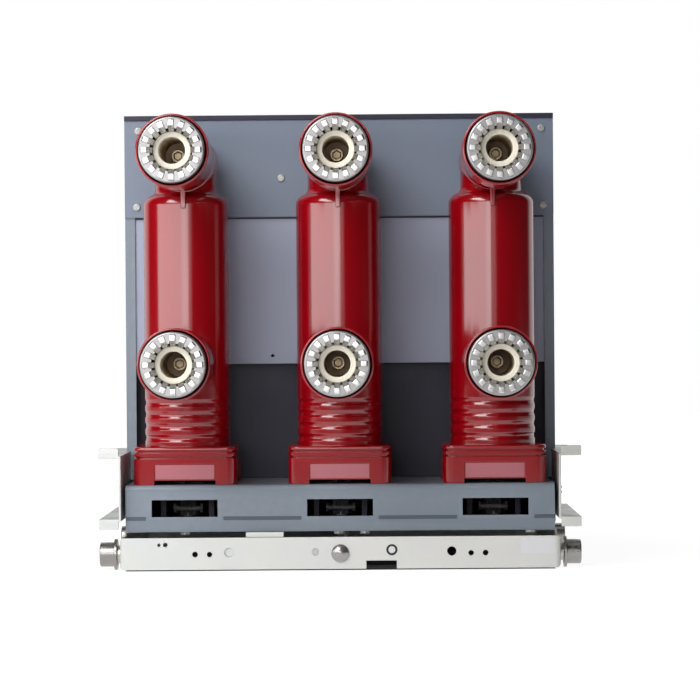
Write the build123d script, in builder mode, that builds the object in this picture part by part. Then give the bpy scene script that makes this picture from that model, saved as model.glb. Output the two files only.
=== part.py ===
"""Withdrawable vacuum circuit breaker: three resin poles on a wheeled truck.

Frame: X to the right seen from the contact side, Y from the contacts towards
the operating front, Z up. The origin is the bottom centre of the whole breaker.
All lengths are in millimetres.
"""

import os
from math import asin, cos, hypot, radians, sin

from build123d import *

os.makedirs("parts", exist_ok=True)

# Leading sizes of the whole breaker
phase_pitch = 210.0
contact_pitch = 275.0
contact_low_z = 280.0
arm_reach = 290.0
cover_reach = 322.0

# How far every cutting shape runs past the face it cuts, and play between seats
overrun = 4.0
seat_play = 0.1
running_play = 0.06

# Contact fingers: sixteen radial blades around each contact arm
finger_count = 16
finger_width = 7.4
finger_length = 62.0
finger_bore_radius = 24.5
finger_stock = 0.6
finger_mouth_flare = 6.5
finger_height = 14.9
finger_nose_edge = 1.5
finger_mouth_depth = 9.0
finger_land = 7.0
finger_relief = 3.0
finger_relief_slope = 4.0
finger_seat_length = 12.0
finger_back_step = 2.4
finger_tail_bevel = 4.0

# Garter spring in a groove round the finger noses
spring_radius = 3.8
spring_sides = 8
spring_depth = 15.0
spring_groove_half = 4.4

# Cage ring outside the fingers, with a slotted disc that spaces them
cage_wall = 1.2
cage_disc = 2.4
cage_round = 2.2
cage_tooth_gap = 3.2
cage_setback = 2.4
cage_length = 56.0

# Contact arm: a plated tube with a blind bore, screwed to the pole
arm_setback = 17.0
arm_chamfer = 1.2
arm_wall = 7.3
arm_floor = 77.5
arm_tail_step = 4.5
arm_tail_gap = 22.0
screw_head_radius = 9.0
screw_head_height = 12.0
screw_socket_width = 10.0
screw_socket_depth = 6.0

# Resin sleeve over each contact arm
sleeve_setback = 18.0
sleeve_gap = 2.0
sleeve_wall = 3.0
sleeve_lip_round = 2.0
sleeve_bell = 74.0
sleeve_taper = 26.0
sleeve_tail_play = 3.0
sleeve_tail_wall = 10.5

# Resin pole: foot block, grooved column, shoulder, neck and terminal bosses
column_radius = 58.5
shoulder_drop = 45.0
shoulder_round = 14.0
neck_radius = 42.0
head_radius = 43.0
boss_stand = 8.0
head_back = 46.0
head_back_round = 12.0
groove_count = 4
groove_rise = 11.0
groove_pitch = 16.0
groove_half = 4.6
groove_depth = 2.0
gusset_width = 5.0
gusset_sink = 22.0
gusset_setback = 5.0
foot_half = 70.0
foot_round = 14.0
foot_height = 51.5
foot_groove_count = 2
foot_groove_rise = 35.8
foot_groove_pitch = 7.7
foot_groove_height = 3.0
foot_groove_depth = 2.5
foot_edge_round = 3.0
foot_arch_half = 41.5
foot_arch_height = 6.0
foot_face_depth = 1.0
foot_face_gap = 7.0

# Base: a shallow sheet box under the poles and the mechanism
sheet = 3.0
base_height = 63.0
base_side_margin = 10.0
base_rear_margin = 9.0
deck_thickness = 7.0
deck_edge_round = 6.0
window_width = 89.0
window_height = 23.0
window_rise = 20.2
seam_height = 5.0
seam_depth = 1.0
seam_rise = 15.5
seam_margin = 7.0
rod_hole_radius = 20.0

# Drive parts seen through the base windows
shaft_radius = 14.0
shaft_y = 66.0
shaft_rise = 30.0
lever_gap_half = 11.0
lever_thickness = 5.0
lever_radius = 11.0
pin_rise = 28.0
pin_radius = 4.7
pin_end = 4.0
pin_nut_radius = 7.0
pin_nut_length = 3.6
eye_play = 0.5
eye_half_height = 10.0
eye_depth = 16.0
eye_rib_count = 4
eye_rib_gap = 1.6
eye_rib_depth = 1.6
stud_radius = 4.5
stud_gap = 7.0
post_offset = 33.0
post_width = 8.0
post_depth = 40.0

# Mechanism housing of folded sheet behind the poles
housing_rise = 71.0
housing_back = 78.0
flange_width = 14.0
upper_plate_height = 143.0
lip_height = 7.0
lip_proud = 2.5
middle_plate_drop = 3.0
panel_hole_radius = 2.2
panel_hole_x = -95.0
panel_hole_rise = 11.0
recess_depth = 32.0
front_cover_round = 6.0

# Operating front
button_radius = 13.0
button_stand = 6.0
button_offset = 60.0
button_z = 430.0
indicator_width = 44.0
indicator_height = 20.0
indicator_stand = 1.5
indicator_offset = 60.0
indicator_z = 360.0
charge_radius = 24.0
charge_stand = 10.0
charge_socket_radius = 9.0
charge_x = 170.0
charge_z = 395.0

# Side guide brackets beside the base
bracket_sheet = 3.0
bracket_gap = 5.0
bracket_rear_step = 13.0
bracket_flange = 27.0
bracket_rise = 15.5
bracket_height = 88.0
bracket_lip = 10.5
bracket_tail = 40.0
bracket_run = 117.5
bracket_tail_rise = 24.0
bracket_tail_height = 28.0

# Truck: zinc-plated rear plate, side rails, front beam and lead screw
truck_side_step = 7.0
truck_rear_step = 15.0
plate_low_z = 2.0
plate_height = 43.0
plate_bend = 7.0
plate_return = 18.0
plate_corner = 6.0
plate_return_round = 4.0
slit_height = 7.0
rail_low_z = 6.0
rail_flange = 28.0
rail_flange_gap = 40.0
beam_gap = 3.0
spacer_width = 51.0
spacer_depth = 26.0
spacer_x = -101.5
rod_height = 21.2
hole_pair_offsets = [150.0, 176.0, 195.5]
hole_pair_rises = [23.1, 20.5, 20.6]
hole_pair_radii = [6.2, 3.6, 3.8]
hole_single_offsets = [-244.0, -235.5, -33.5, 69.5]
hole_single_rises = [33.6, 33.6, 23.1, 25.3]
hole_single_radii = [2.3, 3.2, 4.8, 7.6]
notch_left = 35.0
notch_width = 41.0
notch_height = 11.0
screw_rod_radius = 9.0
cap_radius = 12.0
cap_stand = 8.0
cap_rim = 2.5
crank_radius = 15.0
crank_stand = 5.0
crank_socket_radius = 8.0
handle_offset = 190.0
handle_half_span = 48.0
handle_radius = 6.0
handle_bend = 12.0
handle_rise = 25.0
handle_stand = 34.0

# Flanged truck wheels
wheel_flange_radius = 21.0
wheel_flange_width = 4.0
wheel_tread_width = 19.5
wheel_step = 4.5
wheel_edge = 2.0
wheel_clearance = 5.5
wheel_recess_radius = 11.0
wheel_recess_depth = 3.0
wheel_rear_inset = 34.0
wheel_front_inset = 54.0
axle_radius = 7.0
axle_shoulder = 5.0
axle_head_flange = 3.0
axle_head = 2.0

# Places along the breaker, all from the pole axis
front_reach = cover_reach + handle_stand
pole_y = (arm_reach - front_reach) / 2
tip_y = pole_y - arm_reach
front_y = pole_y + front_reach
cover_y = pole_y + cover_reach
base_rear = foot_half + base_rear_margin
base_rear_y = pole_y - base_rear
truck_rear = base_rear + truck_rear_step
bracket_rear = base_rear + bracket_rear_step
wheel_rear_y = truck_rear - wheel_rear_inset
wheel_front_y = cover_reach - wheel_front_inset
boss_reach = column_radius + boss_stand
arm_end = arm_reach - boss_reach

# Places across the breaker
phase_places = {"left": -phase_pitch, "middle": 0.0, "right": phase_pitch}
sides = {"left": -1, "right": 1}
base_half_width = phase_pitch + foot_half + base_side_margin
base_inner_half = base_half_width - sheet
housing_inner_half = base_half_width + bracket_gap + bracket_sheet
housing_half_width = housing_inner_half + sheet
bracket_flange_reach = housing_inner_half + bracket_flange
truck_half_width = base_half_width + truck_side_step
wheel_inner = truck_half_width + wheel_clearance
wheel_outer = wheel_inner + wheel_flange_width + wheel_tread_width

# Heights, stacked from the truck plate up to the housing top
plate_high_z = plate_low_z + plate_height
screw_rod_z = plate_low_z + rod_height
handle_z = plate_low_z + handle_rise
base_bottom_z = plate_high_z + slit_height
base_top_z = base_bottom_z + base_height
beam_high_z = base_bottom_z - beam_gap
floor_top_z = base_bottom_z + sheet
deck_low_z = base_top_z - deck_thickness
window_low_z = base_bottom_z + window_rise
seam_low_z = base_bottom_z + seam_rise
shaft_z = base_bottom_z + shaft_rise
pin_z = base_bottom_z + pin_rise
stud_low_z = floor_top_z + stud_gap
bracket_lower_z = base_bottom_z + bracket_rise
bracket_upper_z = bracket_lower_z + bracket_height
bracket_tail_low_z = base_bottom_z + bracket_tail_rise
bracket_tail_high_z = bracket_tail_low_z + bracket_tail_height
foot_top_z = base_top_z + foot_height
foot_groove_z = base_top_z + foot_groove_rise
groove_first_z = foot_top_z + groove_rise
contact_high_z = contact_low_z + contact_pitch
contact_heights = [contact_low_z, contact_high_z]
column_shoulder_z = contact_high_z - shoulder_drop
gusset_low_z = column_shoulder_z - gusset_sink
housing_top_z = contact_high_z + housing_rise
upper_plate_low_z = housing_top_z - upper_plate_height
middle_plate_low_z = contact_low_z - middle_plate_drop
panel_hole_z = middle_plate_low_z + panel_hole_rise
wheel_z = wheel_flange_radius
wheel_roller_radius = wheel_flange_radius - wheel_step
axle_shoulder_radius = axle_radius + axle_shoulder
axle_head_radius = axle_radius + axle_head_flange

# Radii round each contact axis, from the fingers outwards
finger_mouth_radius = finger_bore_radius + finger_mouth_flare
finger_nose_radius = finger_bore_radius + finger_height
finger_back_radius = finger_nose_radius - finger_back_step
groove_floor = finger_back_radius - spring_radius
spring_ring = hypot(groove_floor, finger_width / 2) + spring_radius + seat_play
tooth_radius = finger_bore_radius + cage_tooth_gap
slot_radius = finger_nose_radius + seat_play
slot_width = finger_width + 2 * seat_play
cage_bore = spring_ring + spring_radius + seat_play
cage_outer_radius = cage_bore + cage_wall
arm_bore_radius = finger_bore_radius - arm_wall
arm_tail_radius = finger_bore_radius + arm_tail_step
sleeve_bore_radius = cage_outer_radius + sleeve_gap
sleeve_mouth_radius = sleeve_bore_radius + sleeve_wall
sleeve_tail_bore = arm_tail_radius + sleeve_tail_play
sleeve_neck_radius = sleeve_tail_bore + sleeve_tail_wall

# Depths behind the finger tips
arm_tail_start = finger_length + arm_tail_gap
arm_bore_end = arm_end - arm_floor
sleeve_bell_end = sleeve_setback + sleeve_bell
taper_end = sleeve_bell_end + sleeve_taper
cage_end = cage_setback + cage_length

# Drive parts: the eye fills the lever fork, the pin runs through both levers
eye_half_width = lever_gap_half - eye_play
pin_half_length = lever_gap_half + lever_thickness + pin_end
notch_right = notch_left + notch_width


def save(piece, label):
    """Name a finished piece and write it to its own file."""
    piece.part.label = label
    export_step(piece.part, f"parts/{label}.step")


def across(y):
    """Upright plane facing the contact side: sketch x is X, sketch y is Z."""
    return Plane(origin=(0, y, 0), x_dir=(1, 0, 0), z_dir=(0, -1, 0))


def along(x):
    """Upright plane facing the right side: sketch x is Y, sketch y is Z."""
    return Plane(origin=(x, 0, 0), x_dir=(0, 1, 0), z_dir=(1, 0, 0))


def level(z):
    """Flat plane at a height: sketch x is X, sketch y is Y."""
    return Plane(origin=(0, 0, z))


def span_rectangle(low_x, high_x, low_y, high_y):
    """Draw a rectangle between four limits in the sketch being made."""
    with Locations(((low_x + high_x) / 2, (low_y + high_y) / 2)):
        Rectangle(high_x - low_x, high_y - low_y)


# Contact fingers. Each blade is drawn as a profile from its tip (sketch y = 0)
# to its tail, sketch x being the distance from the contact axis.
def finger_planes(x):
    """Radial planes of all blades of the two contacts on one pole."""
    planes = []
    for z in contact_heights:
        for index in range(finger_count):
            turn = radians(360 * index / finger_count)
            planes.append(
                Plane(
                    origin=(x, tip_y, z),
                    x_dir=(cos(turn), 0, sin(turn)),
                    z_dir=(-sin(turn), 0, cos(turn)),
                )
            )
    return planes


land_end = finger_mouth_depth + finger_land
seat_start = finger_length - finger_tail_bevel - finger_seat_length
relief_radius = finger_bore_radius + finger_relief
seat_radius = finger_bore_radius + seat_play
blank_radius = finger_bore_radius - finger_stock

for side, x in phase_places.items():
    with BuildPart() as fingers:
        with BuildSketch(*finger_planes(x)):
            with BuildLine():
                Polyline(
                    (finger_mouth_radius, 0),
                    (finger_nose_radius - finger_nose_edge, 0),
                    (finger_nose_radius, finger_nose_edge),
                    (finger_nose_radius, spring_depth - spring_groove_half),
                    (groove_floor, spring_depth - spring_groove_half),
                    (groove_floor, spring_depth + spring_groove_half),
                    (finger_back_radius, spring_depth + spring_groove_half),
                    (finger_back_radius, finger_length),
                    (blank_radius + finger_tail_bevel, finger_length),
                    (blank_radius, finger_length - finger_tail_bevel),
                    (blank_radius, seat_start),
                    (relief_radius, seat_start - finger_relief_slope),
                    (relief_radius, land_end + finger_relief_slope),
                    (blank_radius, land_end),
                    (blank_radius, finger_mouth_depth),
                    close=True,
                )
            make_face()
        extrude(amount=finger_width / 2, both=True)
        # Round contact lands: the front one for the mating rod, the rear one on the arm
        for z in contact_heights:
            with BuildSketch(across(tip_y)):
                with Locations((x, z)):
                    Circle(finger_bore_radius)
            extrude(amount=-arm_setback, mode=Mode.SUBTRACT)
            with BuildSketch(across(tip_y + arm_setback)):
                with Locations((x, z)):
                    Circle(seat_radius)
            extrude(amount=-finger_length, mode=Mode.SUBTRACT)
    save(fingers, f"contact_fingers_{side}")

# Garter springs, one round the noses of each set of fingers
with BuildPart() as finger_springs:
    for x in phase_places.values():
        for z in contact_heights:
            with BuildSketch(Plane(origin=(x, tip_y, z))):
                with Locations((spring_ring, spring_depth)):
                    RegularPolygon(spring_radius, spring_sides)
            revolve(axis=Axis((x, tip_y, z), (0, 1, 0)))
save(finger_springs, "finger_springs")

# Cage rings: a rounded front lip and a disc with one slot for each finger
with BuildPart() as finger_cages:
    for x in phase_places.values():
        for z in contact_heights:
            with BuildSketch(Plane(origin=(x, tip_y, z))):
                with BuildLine():
                    Line((tooth_radius, cage_setback), (cage_outer_radius - cage_round, cage_setback))
                    RadiusArc(
                        (cage_outer_radius - cage_round, cage_setback),
                        (cage_outer_radius, cage_setback + cage_round),
                        -cage_round,
                    )
                    Polyline(
                        (cage_outer_radius, cage_setback + cage_round),
                        (cage_outer_radius, cage_end),
                        (cage_bore, cage_end),
                        (cage_bore, cage_setback + cage_disc),
                        (tooth_radius, cage_setback + cage_disc),
                        (tooth_radius, cage_setback),
                    )
                make_face()
            revolve(axis=Axis((x, tip_y, z), (0, 1, 0)))
            with BuildSketch(across(tip_y + cage_setback)):
                with Locations((x, z)):
                    with PolarLocations(slot_radius / 2, finger_count):
                        Rectangle(slot_radius, slot_width)
            extrude(amount=-cage_disc, mode=Mode.SUBTRACT)
save(finger_cages, "finger_cages")

# Contact arms: hollow at the contact end, screwed on through the bore
with BuildPart() as contact_arms:
    for x in phase_places.values():
        for z in contact_heights:
            with BuildSketch(Plane(origin=(x, tip_y, z))):
                with BuildLine():
                    Polyline(
                        (arm_bore_radius + arm_chamfer, arm_setback),
                        (finger_bore_radius - arm_chamfer, arm_setback),
                        (finger_bore_radius, arm_setback + arm_chamfer),
                        (finger_bore_radius, arm_tail_start),
                        (arm_tail_radius, arm_tail_start),
                        (arm_tail_radius, arm_end),
                        (0, arm_end),
                        (0, arm_bore_end),
                        (arm_bore_radius, arm_bore_end),
                        (arm_bore_radius, arm_setback + arm_chamfer),
                        close=True,
                    )
                make_face()
            revolve(axis=Axis((x, tip_y, z), (0, 1, 0)))
save(contact_arms, "contact_arms")

# Socket-head screws at the bottom of the arm bores
screw_face_y = tip_y + arm_bore_end - screw_head_height
with BuildPart() as arm_screws:
    for x in phase_places.values():
        for z in contact_heights:
            with BuildSketch(across(screw_face_y)):
                with Locations((x, z)):
                    Circle(screw_head_radius)
            extrude(amount=-screw_head_height)
            with BuildSketch(across(screw_face_y)):
                with Locations((x, z)):
                    RegularPolygon(screw_socket_width / 2, 6, major_radius=False)
            extrude(amount=-screw_socket_depth, mode=Mode.SUBTRACT)
save(arm_screws, "arm_screws")

# Resin sleeves: a bell round the fingers, narrowing to the pole boss
for side, x in phase_places.items():
    with BuildPart() as sleeves:
        for z in contact_heights:
            with BuildSketch(Plane(origin=(x, tip_y, z))):
                with BuildLine():
                    Polyline(
                        (sleeve_bore_radius, sleeve_setback),
                        (sleeve_mouth_radius - sleeve_lip_round, sleeve_setback),
                        (sleeve_mouth_radius, sleeve_setback + sleeve_lip_round),
                        (sleeve_mouth_radius, sleeve_bell_end),
                        (sleeve_neck_radius, taper_end),
                        (sleeve_neck_radius, arm_end),
                        (sleeve_tail_bore, arm_end),
                        (sleeve_tail_bore, taper_end),
                        (sleeve_bore_radius, sleeve_bell_end),
                        close=True,
                    )
                make_face()
            revolve(axis=Axis((x, tip_y, z), (0, 1, 0)))
    save(sleeves, f"arm_sleeves_{side}")

# Poles
for side, x in phase_places.items():
    with BuildPart() as pole:
        # Foot block with rounded corners and grooves round it
        with BuildSketch(Plane(origin=(x, pole_y, base_top_z))):
            RectangleRounded(foot_half * 2, foot_half * 2, foot_round)
        extrude(amount=foot_top_z - base_top_z)
        fillet(pole.faces().sort_by(Axis.Z)[-1].edges(), radius=foot_edge_round)
        for index in range(foot_groove_count):
            with BuildSketch(Plane(origin=(x, pole_y, foot_groove_z + index * foot_groove_pitch))):
                RectangleRounded((foot_half + overrun) * 2, (foot_half + overrun) * 2, foot_round)
                RectangleRounded(
                    (foot_half - foot_groove_depth) * 2,
                    (foot_half - foot_groove_depth) * 2,
                    foot_round - foot_groove_depth,
                    mode=Mode.SUBTRACT,
                )
            extrude(amount=foot_groove_height, mode=Mode.SUBTRACT)
        # Arched underside between the corner feet, both ways
        with BuildSketch(Plane(origin=(x, pole_y, base_top_z))):
            Rectangle(foot_arch_half * 2, (foot_half + overrun) * 2)
            Rectangle((foot_half + overrun) * 2, foot_arch_half * 2)
        extrude(amount=foot_arch_height, mode=Mode.SUBTRACT)
        # Faces between the corner pads set back a little, below the groove
        foot_face = (foot_half - foot_face_depth) * 2
        with BuildSketch(Plane(origin=(x, pole_y, base_top_z))):
            Rectangle(foot_arch_half * 2, (foot_half + overrun) * 2)
            Rectangle((foot_half + overrun) * 2, foot_arch_half * 2)
            Rectangle(foot_face, foot_face, mode=Mode.SUBTRACT)
        extrude(amount=foot_groove_rise - foot_face_gap, mode=Mode.SUBTRACT)
        # Column with grooves, shoulder and neck, turned about the pole axis
        with BuildSketch(Plane(origin=(x, pole_y, 0), x_dir=(1, 0, 0), z_dir=(0, -1, 0))):
            with BuildLine():
                Line((0, foot_top_z - overrun), (column_radius, foot_top_z - overrun))
                height = foot_top_z - overrun
                for index in range(groove_count):
                    groove_z = groove_first_z + index * groove_pitch
                    Line((column_radius, height), (column_radius, groove_z - groove_half))
                    ThreePointArc(
                        (column_radius, groove_z - groove_half),
                        (column_radius - groove_depth, groove_z),
                        (column_radius, groove_z + groove_half),
                    )
                    height = groove_z + groove_half
                Line((column_radius, height), (column_radius, column_shoulder_z - shoulder_round))
                RadiusArc(
                    (column_radius, column_shoulder_z - shoulder_round),
                    (column_radius - shoulder_round, column_shoulder_z),
                    -shoulder_round,
                )
                Line((column_radius - shoulder_round, column_shoulder_z), (neck_radius, column_shoulder_z))
                Line((neck_radius, column_shoulder_z), (neck_radius, contact_high_z))
                Line((neck_radius, contact_high_z), (0, contact_high_z))
                Line((0, contact_high_z), (0, foot_top_z - overrun))
            make_face()
        revolve(axis=Axis((x, pole_y, 0), (0, 0, 1)))
        # Upper terminal head and lower terminal boss
        with BuildSketch(Plane(origin=(x, pole_y, contact_high_z))):
            with BuildLine():
                Line((0, -boss_reach), (head_radius, -boss_reach))
                Line((head_radius, -boss_reach), (head_radius, head_back - head_back_round))
                RadiusArc(
                    (head_radius, head_back - head_back_round),
                    (head_radius - head_back_round, head_back),
                    -head_back_round,
                )
                Line((head_radius - head_back_round, head_back), (0, head_back))
                Line((0, head_back), (0, -boss_reach))
            make_face()
        revolve(axis=Axis((x, pole_y, contact_high_z), (0, 1, 0)))
        with BuildSketch(across(pole_y - boss_reach)):
            with Locations((x, contact_low_z)):
                Circle(sleeve_neck_radius)
        extrude(amount=-boss_reach)
        # Upright gusset between the upper boss and the shoulder
        with BuildSketch(along(x)):
            span_rectangle(pole_y - boss_reach + gusset_setback, pole_y, gusset_low_z, contact_high_z)
        extrude(amount=gusset_width / 2, both=True)
    save(pole, f"pole_{side}")

# Base deck, floor and side walls
base_front_y = cover_y - sheet
with BuildPart() as base_deck:
    with BuildSketch(level(deck_low_z)):
        span_rectangle(-base_half_width, base_half_width, base_rear_y, base_front_y)
    extrude(amount=deck_thickness)
    fillet(base_deck.faces().sort_by(Axis.Y)[0].edges().sort_by(Axis.Z)[-1], radius=deck_edge_round)
    with BuildSketch(level(deck_low_z)):
        with Locations(*[(x, pole_y) for x in phase_places.values()]):
            Circle(rod_hole_radius)
    extrude(amount=deck_thickness + overrun, mode=Mode.SUBTRACT)
save(base_deck, "base_deck")

with BuildPart() as base_floor:
    with BuildSketch(level(base_bottom_z)):
        span_rectangle(-base_inner_half, base_inner_half, base_rear_y + sheet, base_front_y)
    extrude(amount=sheet)
save(base_floor, "base_floor")

with BuildPart() as base_sides:
    with BuildSketch(level(base_bottom_z)):
        for way in sides.values():
            with Locations((way * (base_half_width - sheet / 2), (base_rear_y + sheet + base_front_y) / 2)):
                Rectangle(sheet, base_front_y - base_rear_y - sheet)
    extrude(amount=deck_low_z - base_bottom_z)
save(base_sides, "base_sides")

# Base rear wall with three windows and a seam line pressed in between them
seam_stops = [-base_half_width]
for x in phase_places.values():
    seam_stops.append(x - window_width / 2 - seam_margin)
    seam_stops.append(x + window_width / 2 + seam_margin)
seam_stops.append(base_half_width)
with BuildPart() as base_rear_wall:
    with BuildSketch(across(base_rear_y)):
        span_rectangle(-base_half_width, base_half_width, base_bottom_z, deck_low_z)
    extrude(amount=-sheet)
    with BuildSketch(across(base_rear_y)):
        for x in phase_places.values():
            with Locations((x, window_low_z + window_height / 2)):
                Rectangle(window_width, window_height)
    extrude(amount=-(sheet + overrun), mode=Mode.SUBTRACT)
    with BuildSketch(across(base_rear_y)):
        for start, stop in zip(seam_stops[0::2], seam_stops[1::2]):
            span_rectangle(start, stop, seam_low_z, seam_low_z + seam_height)
    extrude(amount=-seam_depth, mode=Mode.SUBTRACT)
save(base_rear_wall, "base_rear_wall")

# Posts between floor and deck on both sides of each pole
with BuildPart() as base_posts:
    with BuildSketch(level(floor_top_z)):
        for x in phase_places.values():
            with Locations((x - post_offset, pole_y), (x + post_offset, pole_y)):
                Rectangle(post_width, post_depth)
    extrude(amount=deck_low_z - floor_top_z)
save(base_posts, "base_posts")

# Drive shaft across the base with a forked lever for each pole
with BuildPart() as drive_shaft:
    with BuildSketch(along(-base_inner_half)):
        with Locations((pole_y + shaft_y, shaft_z)):
            Circle(shaft_radius)
    extrude(amount=base_inner_half * 2)
    for x in phase_places.values():
        for way in sides.values():
            lever_x = x + way * (lever_gap_half + lever_thickness / 2)
            with BuildSketch(along(lever_x)):
                with BuildLine():
                    Polyline(
                        (pole_y, pin_z - lever_radius),
                        (pole_y + shaft_y, shaft_z - shaft_radius),
                        (pole_y + shaft_y, shaft_z + shaft_radius),
                        (pole_y, pin_z + lever_radius),
                        close=True,
                    )
                make_face()
                with Locations((pole_y, pin_z)):
                    Circle(lever_radius)
                    Circle(pin_radius + running_play, mode=Mode.SUBTRACT)
            extrude(amount=lever_thickness / 2, both=True)
save(drive_shaft, "drive_shaft")

# Clevis pins with a nut at each end
nut_start = pin_half_length - pin_nut_length
with BuildPart() as clevis_pins:
    for x in phase_places.values():
        with BuildSketch(along(x - pin_half_length)):
            with Locations((pole_y, pin_z)):
                Circle(pin_radius)
        extrude(amount=pin_half_length * 2)
        for way in sides.values():
            with BuildSketch(along(x + way * (nut_start + pin_nut_length / 2))):
                with Locations((pole_y, pin_z)):
                    RegularPolygon(pin_nut_radius, 6)
            extrude(amount=pin_nut_length / 2, both=True)
save(clevis_pins, "clevis_pins")

# Pull-rod eyes: a ribbed block on the pin with a stud up into the pole
stud_high_z = base_top_z + foot_arch_height
rib_pitch = eye_half_width * 2 / eye_rib_count
with BuildPart() as rod_eyes:
    for x in phase_places.values():
        with BuildSketch(along(x)):
            span_rectangle(
                pole_y - eye_depth / 2,
                pole_y + eye_depth / 2,
                pin_z - eye_half_height,
                pin_z + eye_half_height,
            )
        extrude(amount=eye_half_width, both=True)
        with BuildSketch(across(pole_y - eye_depth / 2)):
            for index in range(1, eye_rib_count):
                with Locations((x - eye_half_width + index * rib_pitch, pin_z)):
                    Rectangle(eye_rib_gap, (eye_half_height + overrun) * 2)
        extrude(amount=-eye_rib_depth, mode=Mode.SUBTRACT)
        with BuildSketch(Plane(origin=(x, pole_y, stud_low_z))):
            Circle(stud_radius)
        extrude(amount=stud_high_z - stud_low_z)
        with BuildSketch(along(x)):
            with Locations((pole_y, pin_z)):
                Circle(pin_radius + running_play)
        extrude(amount=eye_half_width + overrun, both=True, mode=Mode.SUBTRACT)
save(rod_eyes, "rod_eyes")

# Housing side walls with a flange turned in at the rear
housing_back_y = pole_y + housing_back
cover_back_y = cover_y - sheet
with BuildPart() as housing_sides:
    for way in sides.values():
        with BuildSketch(level(base_bottom_z)):
            with BuildLine():
                Polyline(
                    (way * housing_half_width, housing_back_y),
                    (way * housing_half_width, cover_back_y),
                    (way * housing_inner_half, cover_back_y),
                    (way * housing_inner_half, housing_back_y),
                    close=True,
                )
            make_face()
        extrude(amount=housing_top_z - sheet - base_bottom_z)
        with BuildSketch(level(base_top_z)):
            with BuildLine():
                Polyline(
                    (way * housing_inner_half, housing_back_y),
                    (way * housing_inner_half, housing_back_y + sheet),
                    (way * (housing_half_width - flange_width), housing_back_y + sheet),
                    (way * (housing_half_width - flange_width), housing_back_y),
                    close=True,
                )
            make_face()
        extrude(amount=housing_top_z - sheet - base_top_z)
save(housing_sides, "housing_sides")

# Housing top with a lip folded down at the rear
plate_back_y = housing_back_y - sheet
with BuildPart() as housing_top:
    with BuildSketch(level(housing_top_z - sheet)):
        span_rectangle(-housing_half_width, housing_half_width, plate_back_y - lip_proud, cover_back_y)
    extrude(amount=sheet)
    with BuildSketch(across(plate_back_y - lip_proud)):
        span_rectangle(-housing_half_width, housing_half_width, housing_top_z - lip_height, housing_top_z - sheet)
    extrude(amount=-lip_proud)
save(housing_top, "housing_top")

# Upper rear plate screwed over the wall flanges
with BuildPart() as rear_upper_plate:
    with BuildSketch(across(plate_back_y)):
        span_rectangle(-housing_half_width, housing_half_width, upper_plate_low_z, housing_top_z - sheet)
    extrude(amount=-sheet)
save(rear_upper_plate, "rear_upper_plate")

# Middle rear panel behind the wall flanges, turned in at its lower edge
panel_back_y = housing_back_y + sheet
recess_y = panel_back_y + recess_depth
panel_half = housing_inner_half
with BuildPart() as rear_middle_panel:
    with BuildSketch(across(panel_back_y)):
        span_rectangle(-panel_half, panel_half, middle_plate_low_z, housing_top_z - sheet)
        with Locations((panel_hole_x, panel_hole_z)):
            Circle(panel_hole_radius, mode=Mode.SUBTRACT)
    extrude(amount=-sheet)
    with BuildSketch(level(middle_plate_low_z)):
        span_rectangle(-panel_half, panel_half, panel_back_y, recess_y + sheet)
    extrude(amount=sheet)
save(rear_middle_panel, "rear_middle_panel")

# Lower rear panel, set back under the middle one
with BuildPart() as rear_lower_panel:
    with BuildSketch(across(recess_y)):
        span_rectangle(-panel_half, panel_half, base_top_z, middle_plate_low_z)
    extrude(amount=-sheet)
save(rear_lower_panel, "rear_lower_panel")

# Front cover with rounded edges, its indicators, buttons and charging socket
with BuildPart() as front_cover:
    with BuildSketch(across(cover_y)):
        span_rectangle(-housing_half_width, housing_half_width, base_bottom_z, housing_top_z)
    extrude(amount=sheet)
    fillet(front_cover.edges().filter_by(Axis.Y), radius=front_cover_round)
save(front_cover, "front_cover")

with BuildPart() as push_buttons:
    with BuildSketch(across(cover_y)):
        with Locations((-button_offset, button_z), (button_offset, button_z)):
            Circle(button_radius)
    extrude(amount=-button_stand)
save(push_buttons, "push_buttons")

with BuildPart() as indicators:
    with BuildSketch(across(cover_y)):
        with Locations((-indicator_offset, indicator_z), (indicator_offset, indicator_z)):
            Rectangle(indicator_width, indicator_height)
    extrude(amount=-indicator_stand)
save(indicators, "indicators")

with BuildPart() as charging_socket:
    with BuildSketch(across(cover_y)):
        with Locations((charge_x, charge_z)):
            Circle(charge_radius)
            Circle(charge_socket_radius, mode=Mode.SUBTRACT)
    extrude(amount=-charge_stand)
save(charging_socket, "charging_socket")

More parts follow.
